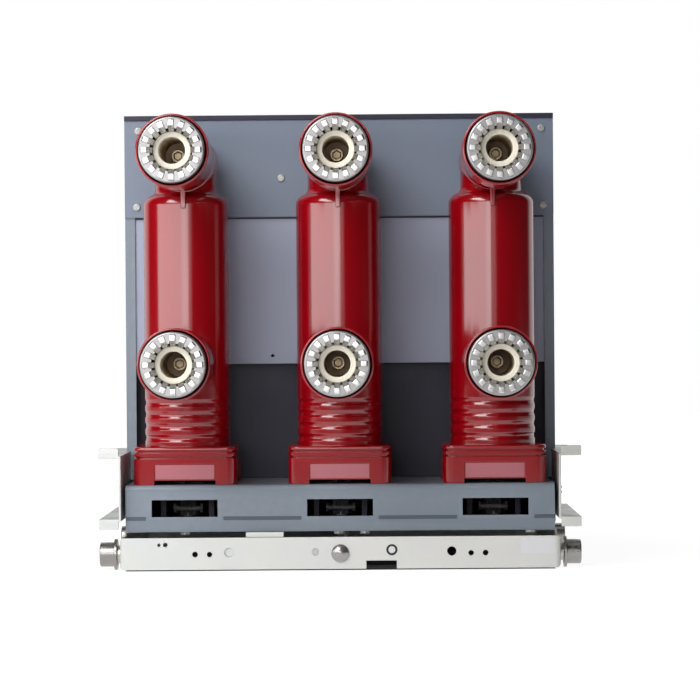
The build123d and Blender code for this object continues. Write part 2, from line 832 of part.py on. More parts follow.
# Side guide brackets: a web beside the base with flanges and flared lips
bracket_rear_y = pole_y - bracket_rear
flange_front_y = housing_back_y - sheet - lip_proud
for side, way in sides.items():
    web_inner = way * (housing_inner_half - bracket_sheet)
    web_outer = way * housing_inner_half
    reach = way * bracket_flange_reach
    with BuildPart() as bracket:
        with BuildSketch(across(bracket_rear_y)):
            with BuildLine():
                Polyline(
                    (web_inner, bracket_lower_z),
                    (reach, bracket_lower_z),
                    (reach, bracket_lower_z + bracket_sheet),
                    (web_outer, bracket_lower_z + bracket_sheet),
                    (web_outer, bracket_upper_z - bracket_sheet),
                    (reach, bracket_upper_z - bracket_sheet),
                    (reach, bracket_upper_z),
                    (web_inner, bracket_upper_z),
                    close=True,
                )
            make_face()
        extrude(amount=-(flange_front_y - bracket_rear_y))
        # Lips at the rear end, one bent up and one bent down
        with BuildSketch(across(bracket_rear_y)):
            with BuildLine():
                Polyline(
                    (web_outer, bracket_upper_z),
                    (reach, bracket_upper_z),
                    (reach, bracket_upper_z + bracket_lip),
                    (web_outer, bracket_upper_z + bracket_lip),
                    close=True,
                )
            make_face()
            with BuildLine():
                Polyline(
                    (web_outer, bracket_lower_z),
                    (reach, bracket_lower_z),
                    (reach, bracket_lower_z - bracket_lip),
                    (web_outer, bracket_lower_z - bracket_lip),
                    close=True,
                )
            make_face()
        extrude(amount=-bracket_sheet)
        # Tail of the web held between the base and the housing wall
        with BuildSketch(across(flange_front_y)):
            with BuildLine():
                Polyline(
                    (web_inner, bracket_tail_low_z),
                    (web_outer, bracket_tail_low_z),
                    (web_outer, bracket_tail_high_z),
                    (web_inner, bracket_tail_high_z),
                    close=True,
                )
            make_face()
        extrude(amount=-bracket_tail)
        # Flanges run on outside the housing wall
        wall_outer = way * housing_half_width
        with BuildSketch(across(flange_front_y)):
            for flange_z in (bracket_lower_z, bracket_upper_z - bracket_sheet):
                with BuildLine():
                    Polyline(
                        (wall_outer, flange_z),
                        (reach, flange_z),
                        (reach, flange_z + bracket_sheet),
                        (wall_outer, flange_z + bracket_sheet),
                        close=True,
                    )
                make_face()
        extrude(amount=-bracket_run)
    save(bracket, f"guide_bracket_{side}")

# Truck rear plate with bent ends, holes and a notch in its lower edge
truck_rear_y = pole_y - truck_rear
truck_inner_half = truck_half_width - sheet
with BuildPart() as truck_rear_plate:
    with BuildSketch(level(plate_low_z)) as plate_outline:
        span_rectangle(-truck_half_width, truck_half_width, truck_rear_y, truck_rear_y + plate_return)
        fillet(plate_outline.vertices().group_by(Axis.Y)[0], radius=plate_bend)
        with Locations((0, truck_rear_y + (sheet + plate_return + overrun) / 2)):
            Rectangle(truck_inner_half * 2, plate_return - sheet + overrun, mode=Mode.SUBTRACT)
    extrude(amount=plate_high_z - plate_low_z)
    with BuildSketch(across(truck_rear_y)):
        for offset, rise, radius in zip(hole_pair_offsets, hole_pair_rises, hole_pair_radii):
            with Locations((-offset, plate_low_z + rise), (offset, plate_low_z + rise)):
                Circle(radius)
        for offset, rise, radius in zip(hole_single_offsets, hole_single_rises, hole_single_radii):
            with Locations((offset, plate_low_z + rise)):
                Circle(radius)
        span_rectangle(notch_left, notch_right, plate_low_z - overrun, plate_low_z + notch_height)
    extrude(amount=-(sheet + overrun), mode=Mode.SUBTRACT)
    plate_ends = truck_rear_plate.edges().filter_by(Axis.X).group_by(Axis.Y)[-1]
    fillet(plate_ends, radius=plate_return_round)
    # Corners rounded off, seen from the contact side
    with BuildSketch(across(truck_rear_y - overrun)):
        with Locations((0, plate_low_z + plate_height / 2)):
            Rectangle((truck_half_width + overrun) * 2, plate_height + overrun * 2)
            RectangleRounded(truck_half_width * 2, plate_height, plate_corner, mode=Mode.SUBTRACT)
    extrude(amount=-(plate_return + overrun * 2), mode=Mode.SUBTRACT)
save(truck_rear_plate, "truck_rear_plate")

# Truck side rails carrying the base and the wheel axles
rail_start_y = truck_rear_y + sheet
rail_end_y = cover_y - sheet
with BuildPart() as truck_rails:
    for way in sides.values():
        with BuildSketch(across(rail_start_y)):
            with BuildLine():
                Polyline(
                    (way * truck_inner_half, rail_low_z),
                    (way * truck_inner_half, base_bottom_z),
                    (way * (truck_inner_half - rail_flange), base_bottom_z),
                    (way * (truck_inner_half - rail_flange), base_bottom_z - sheet),
                    (way * (truck_inner_half - sheet), base_bottom_z - sheet),
                    (way * (truck_inner_half - sheet), rail_low_z),
                    close=True,
                )
            make_face()
        extrude(amount=-(rail_end_y - rail_start_y))
    # Flanges start further in, clear of the slit above the rear plate
    with BuildSketch(across(rail_start_y)):
        for way in sides.values():
            with Locations((way * (truck_inner_half - rail_flange / 2), base_bottom_z - slit_height / 2)):
                Rectangle(rail_flange + overrun, slit_height)
    extrude(amount=-rail_flange_gap, mode=Mode.SUBTRACT)
save(truck_rails, "truck_rails")

# Truck front beam under the cover
with BuildPart() as front_beam:
    with BuildSketch(across(rail_end_y)):
        span_rectangle(-truck_half_width, truck_half_width, plate_low_z, beam_high_z)
    extrude(amount=-sheet)
save(front_beam, "front_beam")

# Lead screw along the truck, its end cap at the rear and crank socket in front
with BuildPart() as lead_screw:
    with BuildSketch(across(rail_start_y)):
        with Locations((0, screw_rod_z)):
            Circle(screw_rod_radius)
    extrude(amount=-(rail_end_y - rail_start_y))
save(lead_screw, "lead_screw")

cap_dome = cap_stand - cap_rim
dome_radius = (cap_radius**2 + cap_dome**2) / (2 * cap_dome)
dome_turn = asin(cap_radius / dome_radius) / 2
dome_centre = dome_radius - cap_stand
with BuildPart() as screw_cap:
    with BuildSketch(Plane(origin=(0, truck_rear_y, screw_rod_z))):
        with BuildLine():
            Line((0, 0), (cap_radius, 0))
            Line((cap_radius, 0), (cap_radius, -cap_rim))
            ThreePointArc(
                (cap_radius, -cap_rim),
                (dome_radius * sin(dome_turn), dome_centre - dome_radius * cos(dome_turn)),
                (0, -cap_stand),
            )
            Line((0, -cap_stand), (0, 0))
        make_face()
    revolve(axis=Axis((0, truck_rear_y, screw_rod_z), (0, 1, 0)))
save(screw_cap, "screw_cap")

beam_front_y = rail_end_y + sheet
with BuildPart() as crank_socket:
    with BuildSketch(across(beam_front_y)):
        with Locations((0, screw_rod_z)):
            Circle(crank_radius)
            RegularPolygon(crank_socket_radius, 6, mode=Mode.SUBTRACT)
    extrude(amount=-crank_stand)
save(crank_socket, "crank_socket")

# Two bow handles on the front beam
with BuildPart() as handles:
    for way in sides.values():
        start_x = way * handle_offset - handle_half_span
        end_x = way * handle_offset + handle_half_span
        bow_y = front_y - handle_radius
        with BuildLine() as bow:
            FilletPolyline(
                (start_x, beam_front_y, handle_z),
                (start_x, bow_y, handle_z),
                (end_x, bow_y, handle_z),
                (end_x, beam_front_y, handle_z),
                radius=handle_bend,
            )
        with BuildSketch(Plane(origin=(start_x, beam_front_y, handle_z), z_dir=(0, 1, 0))):
            Circle(handle_radius)
        sweep(path=bow.line)
save(handles, "handles")

# Spacer block showing in the slit between the truck plate and the base
with BuildPart() as base_spacer:
    with BuildSketch(level(plate_high_z)):
        with Locations((spacer_x, truck_rear_y + sheet + spacer_depth / 2)):
            Rectangle(spacer_width, spacer_depth)
    extrude(amount=base_bottom_z - plate_high_z)
save(base_spacer, "base_spacer")

# Wheels and their axles
wheel_places = {"rear": wheel_rear_y, "front": wheel_front_y}
for end, offset in wheel_places.items():
    wheel_y = pole_y - offset if end == "rear" else pole_y + offset
    for side, way in sides.items():
        with BuildPart() as wheel:
            with BuildSketch(Plane(origin=(0, wheel_y, wheel_z))):
                with BuildLine():
                    Polyline(
                        (way * wheel_inner, axle_radius + running_play),
                        (way * wheel_inner, wheel_flange_radius),
                        (way * (wheel_inner + wheel_flange_width), wheel_flange_radius),
                        (way * (wheel_inner + wheel_flange_width), wheel_roller_radius),
                        (way * (wheel_outer - wheel_edge), wheel_roller_radius),
                        (way * wheel_outer, wheel_roller_radius - wheel_edge),
                        (way * wheel_outer, wheel_recess_radius),
                        (way * (wheel_outer - wheel_recess_depth), wheel_recess_radius),
                        (way * (wheel_outer - wheel_recess_depth), axle_radius + running_play),
                        close=True,
                    )
                make_face()
            revolve(axis=Axis((0, wheel_y, wheel_z), (1, 0, 0)))
        save(wheel, f"wheel_{end}_{side}")

head_start = wheel_outer - wheel_recess_depth + running_play
with BuildPart() as wheel_axles:
    for end, offset in wheel_places.items():
        wheel_y = pole_y - offset if end == "rear" else pole_y + offset
        for way in sides.values():
            with BuildSketch(Plane(origin=(0, wheel_y, wheel_z))):
                with BuildLine():
                    Polyline(
                        (way * truck_inner_half, 0),
                        (way * truck_inner_half, axle_shoulder_radius),
                        (way * (wheel_inner - running_play), axle_shoulder_radius),
                        (way * (wheel_inner - running_play), axle_radius),
                        (way * head_start, axle_radius),
                        (way * head_start, axle_head_radius),
                        (way * (head_start + axle_head), axle_head_radius),
                        (way * (head_start + axle_head), 0),
                        close=True,
                    )
                make_face()
            revolve(axis=Axis((0, wheel_y, wheel_z), (1, 0, 0)))
save(wheel_axles, "wheel_axles")
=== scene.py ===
"""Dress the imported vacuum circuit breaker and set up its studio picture.

Every length is in metres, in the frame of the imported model: X to the right seen
from the contact side, Y from the contacts to the operating front, Z up.
"""

import logging
import math
from collections.abc import Callable
from dataclasses import dataclass, field
from enum import Enum
from functools import cache

import bpy
from mathutils import Matrix, Vector


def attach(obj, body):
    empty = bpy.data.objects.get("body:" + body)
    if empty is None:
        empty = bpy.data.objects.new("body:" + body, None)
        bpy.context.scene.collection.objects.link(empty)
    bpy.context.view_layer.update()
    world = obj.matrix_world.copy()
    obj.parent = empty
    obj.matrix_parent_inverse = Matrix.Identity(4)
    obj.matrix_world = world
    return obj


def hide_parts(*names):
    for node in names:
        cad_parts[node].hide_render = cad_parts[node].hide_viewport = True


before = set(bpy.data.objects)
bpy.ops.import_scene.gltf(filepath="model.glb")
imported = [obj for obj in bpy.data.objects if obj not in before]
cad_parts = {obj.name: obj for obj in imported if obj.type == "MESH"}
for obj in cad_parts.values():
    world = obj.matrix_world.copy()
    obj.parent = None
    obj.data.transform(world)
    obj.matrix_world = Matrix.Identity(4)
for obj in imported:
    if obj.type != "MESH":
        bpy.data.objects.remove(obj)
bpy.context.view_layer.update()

log = logging.getLogger("breaker")
logging.basicConfig(level=logging.INFO, format="%(name)s: %(message)s")

MAIN_BODY = "breaker"
PHASES = {"left": -0.210, "middle": 0.0, "right": 0.210}
CONTACT_HEIGHTS = (0.280, 0.555)
POLE_Y = -0.033
TIP_Y = -0.323
WELD = 0.00001
NEAR = 0.0001
SEED = 0.001
FLAT_ANGLE = 0.5
FINE_STEPS = 128
ALONG_X, ALONG_Y, ALONG_Z = (1, 0, 0), (0, 1, 0), (0, 0, 1)

Piece = bpy.types.Object
Tree = bpy.types.NodeTree
Socket = bpy.types.NodeSocket
Point2 = tuple[float, float]
Point3 = tuple[float, float, float]
Place = Vector | Point3
Colour = tuple[float, float, float]
Tone = Socket | Colour | float
EdgeTest = Callable[[Vector, Vector], bool]


class Side(Enum):
    """The two sides of the truck, with the sign of X."""

    LEFT = -1
    RIGHT = 1

    @property
    def word(self) -> str:
        """Lower-case name used in node names."""
        return self.name.lower()


class Axle(Enum):
    """The two axle lines, with their Y place."""

    REAR = -0.093
    FRONT = 0.235

    @property
    def word(self) -> str:
        """Lower-case name used in node names."""
        return self.name.lower()


class Nodes:
    """The few moves on node trees that the finishes and the studio need."""

    @staticmethod
    def feed(tree: Tree, target: Socket, value: Tone) -> None:
        """Link a socket into an input, or set the input to a number or a colour."""
        if isinstance(value, Socket):
            tree.links.new(value, target)
        else:
            target.default_value = (*value, 1.0) if isinstance(value, tuple) else value

    @staticmethod
    def combine(tree: Tree, way: str, first: Tone, second: Tone) -> Socket:
        """Work out one sum.

        Args:
            tree: Node tree to work in.
            way: Blender's name of the operation.
            first: First number or socket.
            second: Second number or socket.

        Returns:
            The socket with the result.
        """
        node = tree.nodes.new("ShaderNodeMath")
        node.operation = way
        for target, value in zip(node.inputs, (first, second)):
            Nodes.feed(tree, target, value)
        return node.outputs[0]

    @staticmethod
    def span(
        tree: Tree, value: Socket, start: Tone, end: Tone, low: Tone = 0.0, high: Tone = 1.0,
        curve: str = "LINEAR",
    ) -> Socket:
        """Carry a value from one range over to another.

        Args:
            tree: Node tree to work in.
            value: Socket with the value.
            start: Value that gives the low result.
            end: Value that gives the high result.
            low: Low result.
            high: High result.
            curve: Blender's name of the interpolation.

        Returns:
            The socket with the result.
        """
        node = tree.nodes.new("ShaderNodeMapRange")
        node.interpolation_type = curve
        for target, given in zip(node.inputs, (value, start, end, low, high)):
            Nodes.feed(tree, target, given)
        return node.outputs[0]

    @staticmethod
    def along(tree: Tree, axis: str, kind: str = "Object") -> Socket:
        """One axis of a texture coordinate, by default the piece's own."""
        place = tree.nodes.new("ShaderNodeTexCoord")
        split = tree.nodes.new("ShaderNodeSeparateXYZ")
        tree.links.new(place.outputs[kind], split.inputs[0])
        return split.outputs[axis]

    @staticmethod
    def noise(tree: Tree, scale: Tone, **values: float) -> Socket:
        """Noise over the piece's own coordinates, with other inputs by their names."""
        place = tree.nodes.new("ShaderNodeTexCoord")
        node = tree.nodes.new("ShaderNodeTexNoise")
        tree.links.new(place.outputs["Object"], node.inputs["Vector"])
        Nodes.feed(tree, node.inputs["Scale"], scale)
        for key, value in values.items():
            node.inputs[key].default_value = value
        return node.outputs[0]


class ShaderGroups:
    """Node groups shared by the finishes, each built once."""

    COARSE_SCALE = 0.22
    COARSE_SHARE = 0.3
    PATCH_RANGE = (0.32, 0.68)
    EDGE_RANGE = (0.53, 0.62)
    EDGE_SCALE = 120.0
    DUST_RANGE = (0.35, 1.0)
    DUST_SCALE = 30.0
    LATHE_SCALE = 1500.0
    ZINC_TINTS = (
        (0.25, (0.80, 0.84, 0.86, 1)), (0.75, (0.86, 0.80, 0.83, 1)),
        (0.42, (0.82, 0.85, 0.80, 1)), (0.58, (0.87, 0.86, 0.76, 1)),
    )

    @staticmethod
    def _start(name: str, inputs: tuple[str, ...], **outputs: str) -> Tree:
        """Make an empty group with float inputs.

        Args:
            name: Name of the group.
            inputs: Input names.
            **outputs: Output names with the kind of each socket.

        Returns:
            The new node tree with its input and output nodes named "in" and "out".
        """
        tree = bpy.data.node_groups.new(name, "ShaderNodeTree")
        for key in inputs:
            tree.interface.new_socket(key, in_out="INPUT", socket_type="NodeSocketFloat")
        for key, kind in outputs.items():
            tree.interface.new_socket(key, in_out="OUTPUT", socket_type=f"NodeSocket{kind}")
        tree.nodes.new("NodeGroupInput").name = "in"
        tree.nodes.new("NodeGroupOutput").name = "out"
        return tree

    @staticmethod
    def _end(tree: Tree, **results: Socket) -> Tree:
        """Link the results to the group's outputs and return the group."""
        for key, value in results.items():
            tree.links.new(value, tree.nodes["out"].inputs[key])
        return tree

    @classmethod
    @cache
    def grain(cls) -> Tree:
        """Fine bumps of a coating: two sizes of noise mixed into one height."""
        tree = cls._start("coating_grain", ("Scale",), Height="Float")
        scale = tree.nodes["in"].outputs["Scale"]
        fine = Nodes.noise(tree, scale, Detail=3.0)
        coarse = Nodes.noise(tree, Nodes.combine(tree, "MULTIPLY", scale, cls.COARSE_SCALE), Detail=2.0)
        mix = tree.nodes.new("ShaderNodeMix")
        for index, value in ((0, cls.COARSE_SHARE), (2, fine), (3, coarse)):
            Nodes.feed(tree, mix.inputs[index], value)
        return cls._end(tree, Height=mix.outputs[0])

    @classmethod
    @cache
    def smudge(cls) -> Tree:
        """Slow uneven patches: a value between Low and High over the surface."""
        tree = cls._start("slow_patches", ("Scale", "Low", "High"), Value="Float", Mask="Float")
        given = tree.nodes["in"].outputs
        noise = Nodes.noise(tree, given["Scale"], Detail=5.0, Roughness=0.62)
        value = Nodes.span(tree, noise, *cls.PATCH_RANGE, given["Low"], given["High"])
        return cls._end(tree, Value=value, Mask=noise)

    @classmethod
    @cache
    def edge_wear(cls) -> Tree:
        """Mask of rubbed edges, broken up by noise."""
        tree = cls._start("rubbed_edges", ("Amount",), Mask="Float")
        shape = tree.nodes.new("ShaderNodeNewGeometry")
        edges = Nodes.span(tree, shape.outputs["Pointiness"], *cls.EDGE_RANGE)
        broken = Nodes.combine(tree, "MULTIPLY", edges, Nodes.noise(tree, cls.EDGE_SCALE))
        amount = tree.nodes["in"].outputs["Amount"]
        return cls._end(tree, Mask=Nodes.combine(tree, "MULTIPLY", broken, amount))

    @classmethod
    @cache
    def dust(cls) -> Tree:
        """Mask of faces that look up, broken by noise: thin dust on most finishes, painted shade on the tops
        of the zinc.
        """
        tree = cls._start("settled_dust", ("Amount",), Mask="Float")
        up = Nodes.span(tree, Nodes.along(tree, "Z", "Normal"), *cls.DUST_RANGE)
        broken = Nodes.combine(tree, "MULTIPLY", up, Nodes.noise(tree, cls.DUST_SCALE, Detail=6.0))
        amount = tree.nodes["in"].outputs["Amount"]
        return cls._end(tree, Mask=Nodes.combine(tree, "MULTIPLY", broken, amount))

    @classmethod
    @cache
    def passivate(cls) -> Tree:
        """Faint rainbow tints of passivated zinc."""
        tree = cls._start("passivated_tint", ("Scale",), Colour="Color")
        ramp = tree.nodes.new("ShaderNodeValToRGB")
        stops = ramp.color_ramp.elements
        for stop, (place, tone) in zip(stops, cls.ZINC_TINTS):
            stop.position, stop.color = place, tone
        for place, tone in cls.ZINC_TINTS[2:]:
            stops.new(place).color = tone
        tree.links.new(Nodes.noise(tree, tree.nodes["in"].outputs["Scale"], Detail=2.0), ramp.inputs[0])
        return cls._end(tree, Colour=ramp.outputs[0])

    @classmethod
    @cache
    def bore_painted_shade(cls) -> Tree:
        """Mask that grows with the depth into the contact bores, where it lays painted shade."""
        tree = cls._start("bore_painted_shade", ("Start", "End"), Mask="Float")
        given = tree.nodes["in"].outputs
        mask = Nodes.span(tree, Nodes.along(tree, "Y"), given["Start"], given["End"], curve="SMOOTHSTEP")
        return cls._end(tree, Mask=mask)

    @classmethod
    @cache
    def turning(cls) -> Tree:
        """Fine lines left by a lathe, running round the X axis."""
        tree = cls._start("lathe_lines", (), Height="Float")
        noise = tree.nodes.new("ShaderNodeTexNoise")
        noise.noise_dimensions = "1D"
        noise.inputs["Scale"].default_value = cls.LATHE_SCALE
        tree.links.new(Nodes.along(tree, "X"), noise.inputs["W"])
        return cls._end(tree, Height=noise.outputs[0])


@dataclass(frozen=True)
class Finish:
    """One surface finish and the numbers its material is made from."""

    name: str
    slot: str
    colour: Colour
    second: Colour
    rough: Point2
    patch_scale: float
    grain_scale: float
    grain_bump: float
    grain_depth: float = 0.0003
    metallic: float = 0.0
    wear: float = 0.0
    wear_colour: Colour = (0.5, 0.5, 0.5)
    # Up-facing layer: dust on most finishes, painted shade on the zinc.
    dust: float = 0.0
    dust_colour: Colour = (0.42, 0.40, 0.36)
    coat: float = 0.0
    coat_rough: float = 0.05
    ior: float = 1.5
    tint: float = 0.0
    tint_scale: float = 8.0
    # Painted shade deeper in the bores, by depth along Y.
    bore_shade_range: Point2 | None = None
    bore_shade_colour: Colour = (0.1, 0.06, 0.03)
    lathe: float = 0.0

    @staticmethod
    def _group(tree: Tree, group: Tree, **values: float) -> bpy.types.Node:
        """Place a shared group in a material.

        Args:
            tree: The material's node tree.
            group: The shared group.
            **values: Input values by socket name.

        Returns:
            The group node.
        """
        node = tree.nodes.new("ShaderNodeGroup")
        node.node_tree = group
        for key, value in values.items():
            node.inputs[key].default_value = value
        return node

    @staticmethod
    def _mixed(tree: Tree, mask: Tone, base: Tone, over: Tone) -> Socket:
        """Lay one colour over another by a mask.

        Args:
            tree: The material's node tree.
            mask: Socket with the mask, or a number.
            base: Colour, or socket with a colour, below.
            over: Colour, or socket with a colour, on top.

        Returns:
            The socket with the mixed colour.
        """
        mix = tree.nodes.new("ShaderNodeMix")
        mix.data_type = "RGBA"
        for index, value in ((0, mask), (6, base), (7, over)):
            Nodes.feed(tree, mix.inputs[index], value)
        return mix.outputs[2]

    def _bump(self, tree: Tree, height: Socket, strength: float) -> bpy.types.Node:
        """Add a bump node as deep as the finish's grain."""
        bump = tree.nodes.new("ShaderNodeBump")
        bump.inputs["Strength"].default_value = strength
        bump.inputs["Distance"].default_value = self.grain_depth
        tree.links.new(height, bump.inputs["Height"])
        return bump

    def _layers(self, tree: Tree, patch: bpy.types.Node) -> Socket:
        """Colour of the finish: patches, tint, painted shade deep in the bores, rubbed edges, and dust on
        faces that look up (painted shade on the zinc) laid over each other.

        Args:
            tree: The material's node tree.
            patch: The placed group of slow patches.

        Returns:
            The socket with the colour.
        """
        colour = self._mixed(tree, patch.outputs["Mask"], self.colour, self.second)
        if self.tint > 0.0:
            tint = self._group(tree, ShaderGroups.passivate(), Scale=self.tint_scale)
            colour = self._mixed(tree, self.tint, colour, tint.outputs["Colour"])
        # Painted shade: brown laid over the colour deeper in the bores, standing in for their shade and warm
        # bounced light.
        if self.bore_shade_range:
            start, end = self.bore_shade_range
            depth = self._group(tree, ShaderGroups.bore_painted_shade(), Start=start, End=end)
            colour = self._mixed(tree, depth.outputs["Mask"], colour, self.bore_shade_colour)
        if self.wear > 0.0:
            wear = self._group(tree, ShaderGroups.edge_wear(), Amount=self.wear)
            colour = self._mixed(tree, wear.outputs["Mask"], colour, self.wear_colour)
        # Dust on most finishes; on the zinc this layer is painted shade on the faces that look up.
        if self.dust > 0.0:
            dust = self._group(tree, ShaderGroups.dust(), Amount=self.dust)
            colour = self._mixed(tree, dust.outputs["Mask"], colour, self.dust_colour)
        return colour

    def material(self) -> bpy.types.Material:
        """Build the material on first use and return it afterwards."""
        found = bpy.data.materials.get(self.name)
        if found:
            return found
        made = bpy.data.materials.new(self.name)
        made.use_nodes = True
        tree = made.node_tree
        shader = tree.nodes["Principled BSDF"]
        low, high = self.rough
        patch = self._group(tree, ShaderGroups.smudge(), Scale=self.patch_scale, Low=low, High=high)
        grain = self._group(tree, ShaderGroups.grain(), Scale=self.grain_scale)
        bump = self._bump(tree, grain.outputs["Height"], self.grain_bump)
        if self.lathe > 0.0:
            lines = self._group(tree, ShaderGroups.turning())
            ridge = self._bump(tree, lines.outputs["Height"], self.lathe)
            tree.links.new(bump.outputs[0], ridge.inputs["Normal"])
            bump = ridge
        tree.links.new(bump.outputs[0], shader.inputs["Normal"])
        tree.links.new(self._layers(tree, patch), shader.inputs["Base Color"])
        tree.links.new(patch.outputs["Value"], shader.inputs["Roughness"])
        shader.inputs["Metallic"].default_value = self.metallic
        shader.inputs["IOR"].default_value = self.ior
        shader.inputs["Coat Weight"].default_value = self.coat
        shader.inputs["Coat Roughness"].default_value = self.coat_rough
        return made


def powder_coat(
    name: str, colour: Colour, second: Colour, rough: Point2 = (0.42, 0.52), patch_scale: float = 5.0,
    **more: object,
) -> Finish:
    """Grey powder coat with its fine grain.

    Args:
        name: Name of the finish.
        colour: Main colour.
        second: Colour of the slow patches.
        rough: Lowest and highest roughness.
        patch_scale: Scale of the slow patches.
        **more: Wear and dust values of the finish.

    Returns:
        The finish.
    """
    return Finish(
        name, "grey_paint", colour, second, rough, patch_scale, grain_scale=1100.0, grain_bump=0.35, **more
    )


class Paint(Enum):
    """Every finish on the breaker."""

    RED_RESIN = Finish(
        "red_cast_resin", "red_resin", (0.280, 0.0004, 0.0050), (0.245, 0.0003, 0.0042),
        rough=(0.13, 0.17), patch_scale=6.0, grain_scale=90.0, grain_bump=0.04, grain_depth=0.0006,
        dust=0.04, dust_colour=(0.35, 0.10, 0.10), ior=1.75,
    )
    # Painted highlight: a paler resin colour for the skins on the foot faces, standing in for a lamp's
    # reflection.
    PALE_RESIN = Finish(
        "pale_resin_face", "red_resin", (0.400, 0.125, 0.150), (0.370, 0.105, 0.128),
        rough=(0.30, 0.40), patch_scale=30.0, grain_scale=300.0, grain_bump=0.05,
    )
    TRAY_PAINT = powder_coat(
        "tray_powder_coat", (0.180, 0.219, 0.266), (0.169, 0.206, 0.251),
        dust=0.10, wear=0.25, wear_colour=(0.36, 0.38, 0.40),
    )
    PANEL_PAINT = powder_coat(
        "panel_powder_coat", (0.220, 0.246, 0.326), (0.208, 0.233, 0.309),
        dust=0.10, wear=0.25, wear_colour=(0.34, 0.36, 0.38),
    )
    # Painted light: a much lighter copy of the grey powder coat for the recessed middle panel, making up for
    # the little light that reaches it.
    MIDDLE_PAINT = powder_coat(
        "middle_panel_powder_coat", (0.318, 0.350, 0.458), (0.298, 0.329, 0.431),
        wear=0.2, wear_colour=(0.36, 0.39, 0.47),
    )
    # Painted shade: a darker copy of the grey powder coat for the upper plate, standing in for the shade that
    # falls on it.
    PLATE_PAINT = powder_coat(
        "upper_plate_powder_coat", (0.160, 0.195, 0.262), (0.148, 0.181, 0.244), patch_scale=7.0,
        wear=0.2, wear_colour=(0.30, 0.32, 0.35),
    )
    # Painted shade: a dark coat for the strips in the pressed seam, standing in for the shade in that recess.
    SEAM_PAINT = powder_coat(
        "seam_powder_coat", (0.075, 0.095, 0.125), (0.068, 0.086, 0.115), rough=(0.45, 0.55)
    )
    # Dark navy coat. On the window posts and the strip under the upper plate it is painted shade; on the
    # recessed lower panel it is that panel's dark paint together with painted shade; on the housing top it
    # gives the dark top line.
    DARK_PAINT = powder_coat(
        "navy_coat_and_painted_shade", (0.011, 0.010, 0.033), (0.009, 0.008, 0.028), rough=(0.45, 0.55), dust=0.04
    )
    # Painted shade: the strong dark up-facing layer on the zinc darkens its tops, standing in for shade such
    # as in the dark slit above the truck plate.
    ZINC = Finish(
        "passivated_zinc", "zinc_sheet", (0.59, 0.60, 0.59), (0.54, 0.55, 0.55), metallic=0.35,
        rough=(0.28, 0.40), patch_scale=22.0, grain_scale=420.0, grain_bump=0.06,
        wear=0.2, wear_colour=(0.60, 0.60, 0.59), tint=0.3, tint_scale=11.0,
        dust=1.5, dust_colour=(0.15, 0.16, 0.15),
    )
    SILVER = Finish(
        "silver_plate", "plated_copper", (0.66, 0.65, 0.64), (0.58, 0.57, 0.56), metallic=1.0,
        rough=(0.24, 0.34), patch_scale=60.0, grain_scale=900.0, grain_bump=0.05, grain_depth=0.0002,
        wear=0.15, wear_colour=(0.78, 0.77, 0.76),
    )
    CAGE = Finish(
        "cage_silver", "plated_copper", (0.37, 0.36, 0.362), (0.31, 0.302, 0.304), metallic=0.9,
        rough=(0.30, 0.42), patch_scale=60.0, grain_scale=900.0, grain_bump=0.05, grain_depth=0.0002,
        wear=0.15, wear_colour=(0.40, 0.40, 0.39),
    )
    # Painted shade: the arm's colour turns brown deeper in the bore, standing in for the shade and warm
    # bounced light inside it.
    ARM = Finish(
        "cream_plated_arm", "plated_arm", (0.74, 0.69, 0.58), (0.69, 0.64, 0.53),
        rough=(0.38, 0.50), patch_scale=50.0, grain_scale=700.0, grain_bump=0.06, grain_depth=0.0002,
        bore_shade_range=(-0.3045, -0.220), bore_shade_colour=(0.55, 0.38, 0.21),
    )
    SPRING = Finish(
        "spring_wire", "spring_steel", (0.50, 0.50, 0.49), (0.40, 0.40, 0.39), metallic=1.0,
        rough=(0.28, 0.40), patch_scale=80.0, grain_scale=900.0, grain_bump=0.05,
    )
    BOLT = Finish(
        "bolt_steel", "screw_steel", (0.62, 0.60, 0.55), (0.50, 0.48, 0.44), metallic=0.9,
        rough=(0.25, 0.40), patch_scale=70.0, grain_scale=900.0, grain_bump=0.08,
        wear=0.3, wear_colour=(0.85, 0.84, 0.82),
    )
    BORE_SCREW = Finish(
        "oiled_screw", "screw_steel", (0.42, 0.33, 0.21), (0.35, 0.27, 0.17), metallic=0.9,
        rough=(0.30, 0.40), patch_scale=70.0, grain_scale=900.0, grain_bump=0.08,
    )
    BRIGHT_SCREW = Finish(
        "bright_screw", "screw_steel", (0.46, 0.47, 0.45), (0.40, 0.41, 0.39), metallic=0.3,
        rough=(0.25, 0.38), patch_scale=90.0, grain_scale=900.0, grain_bump=0.06,
        wear=0.3, wear_colour=(0.92, 0.92, 0.90),
    )
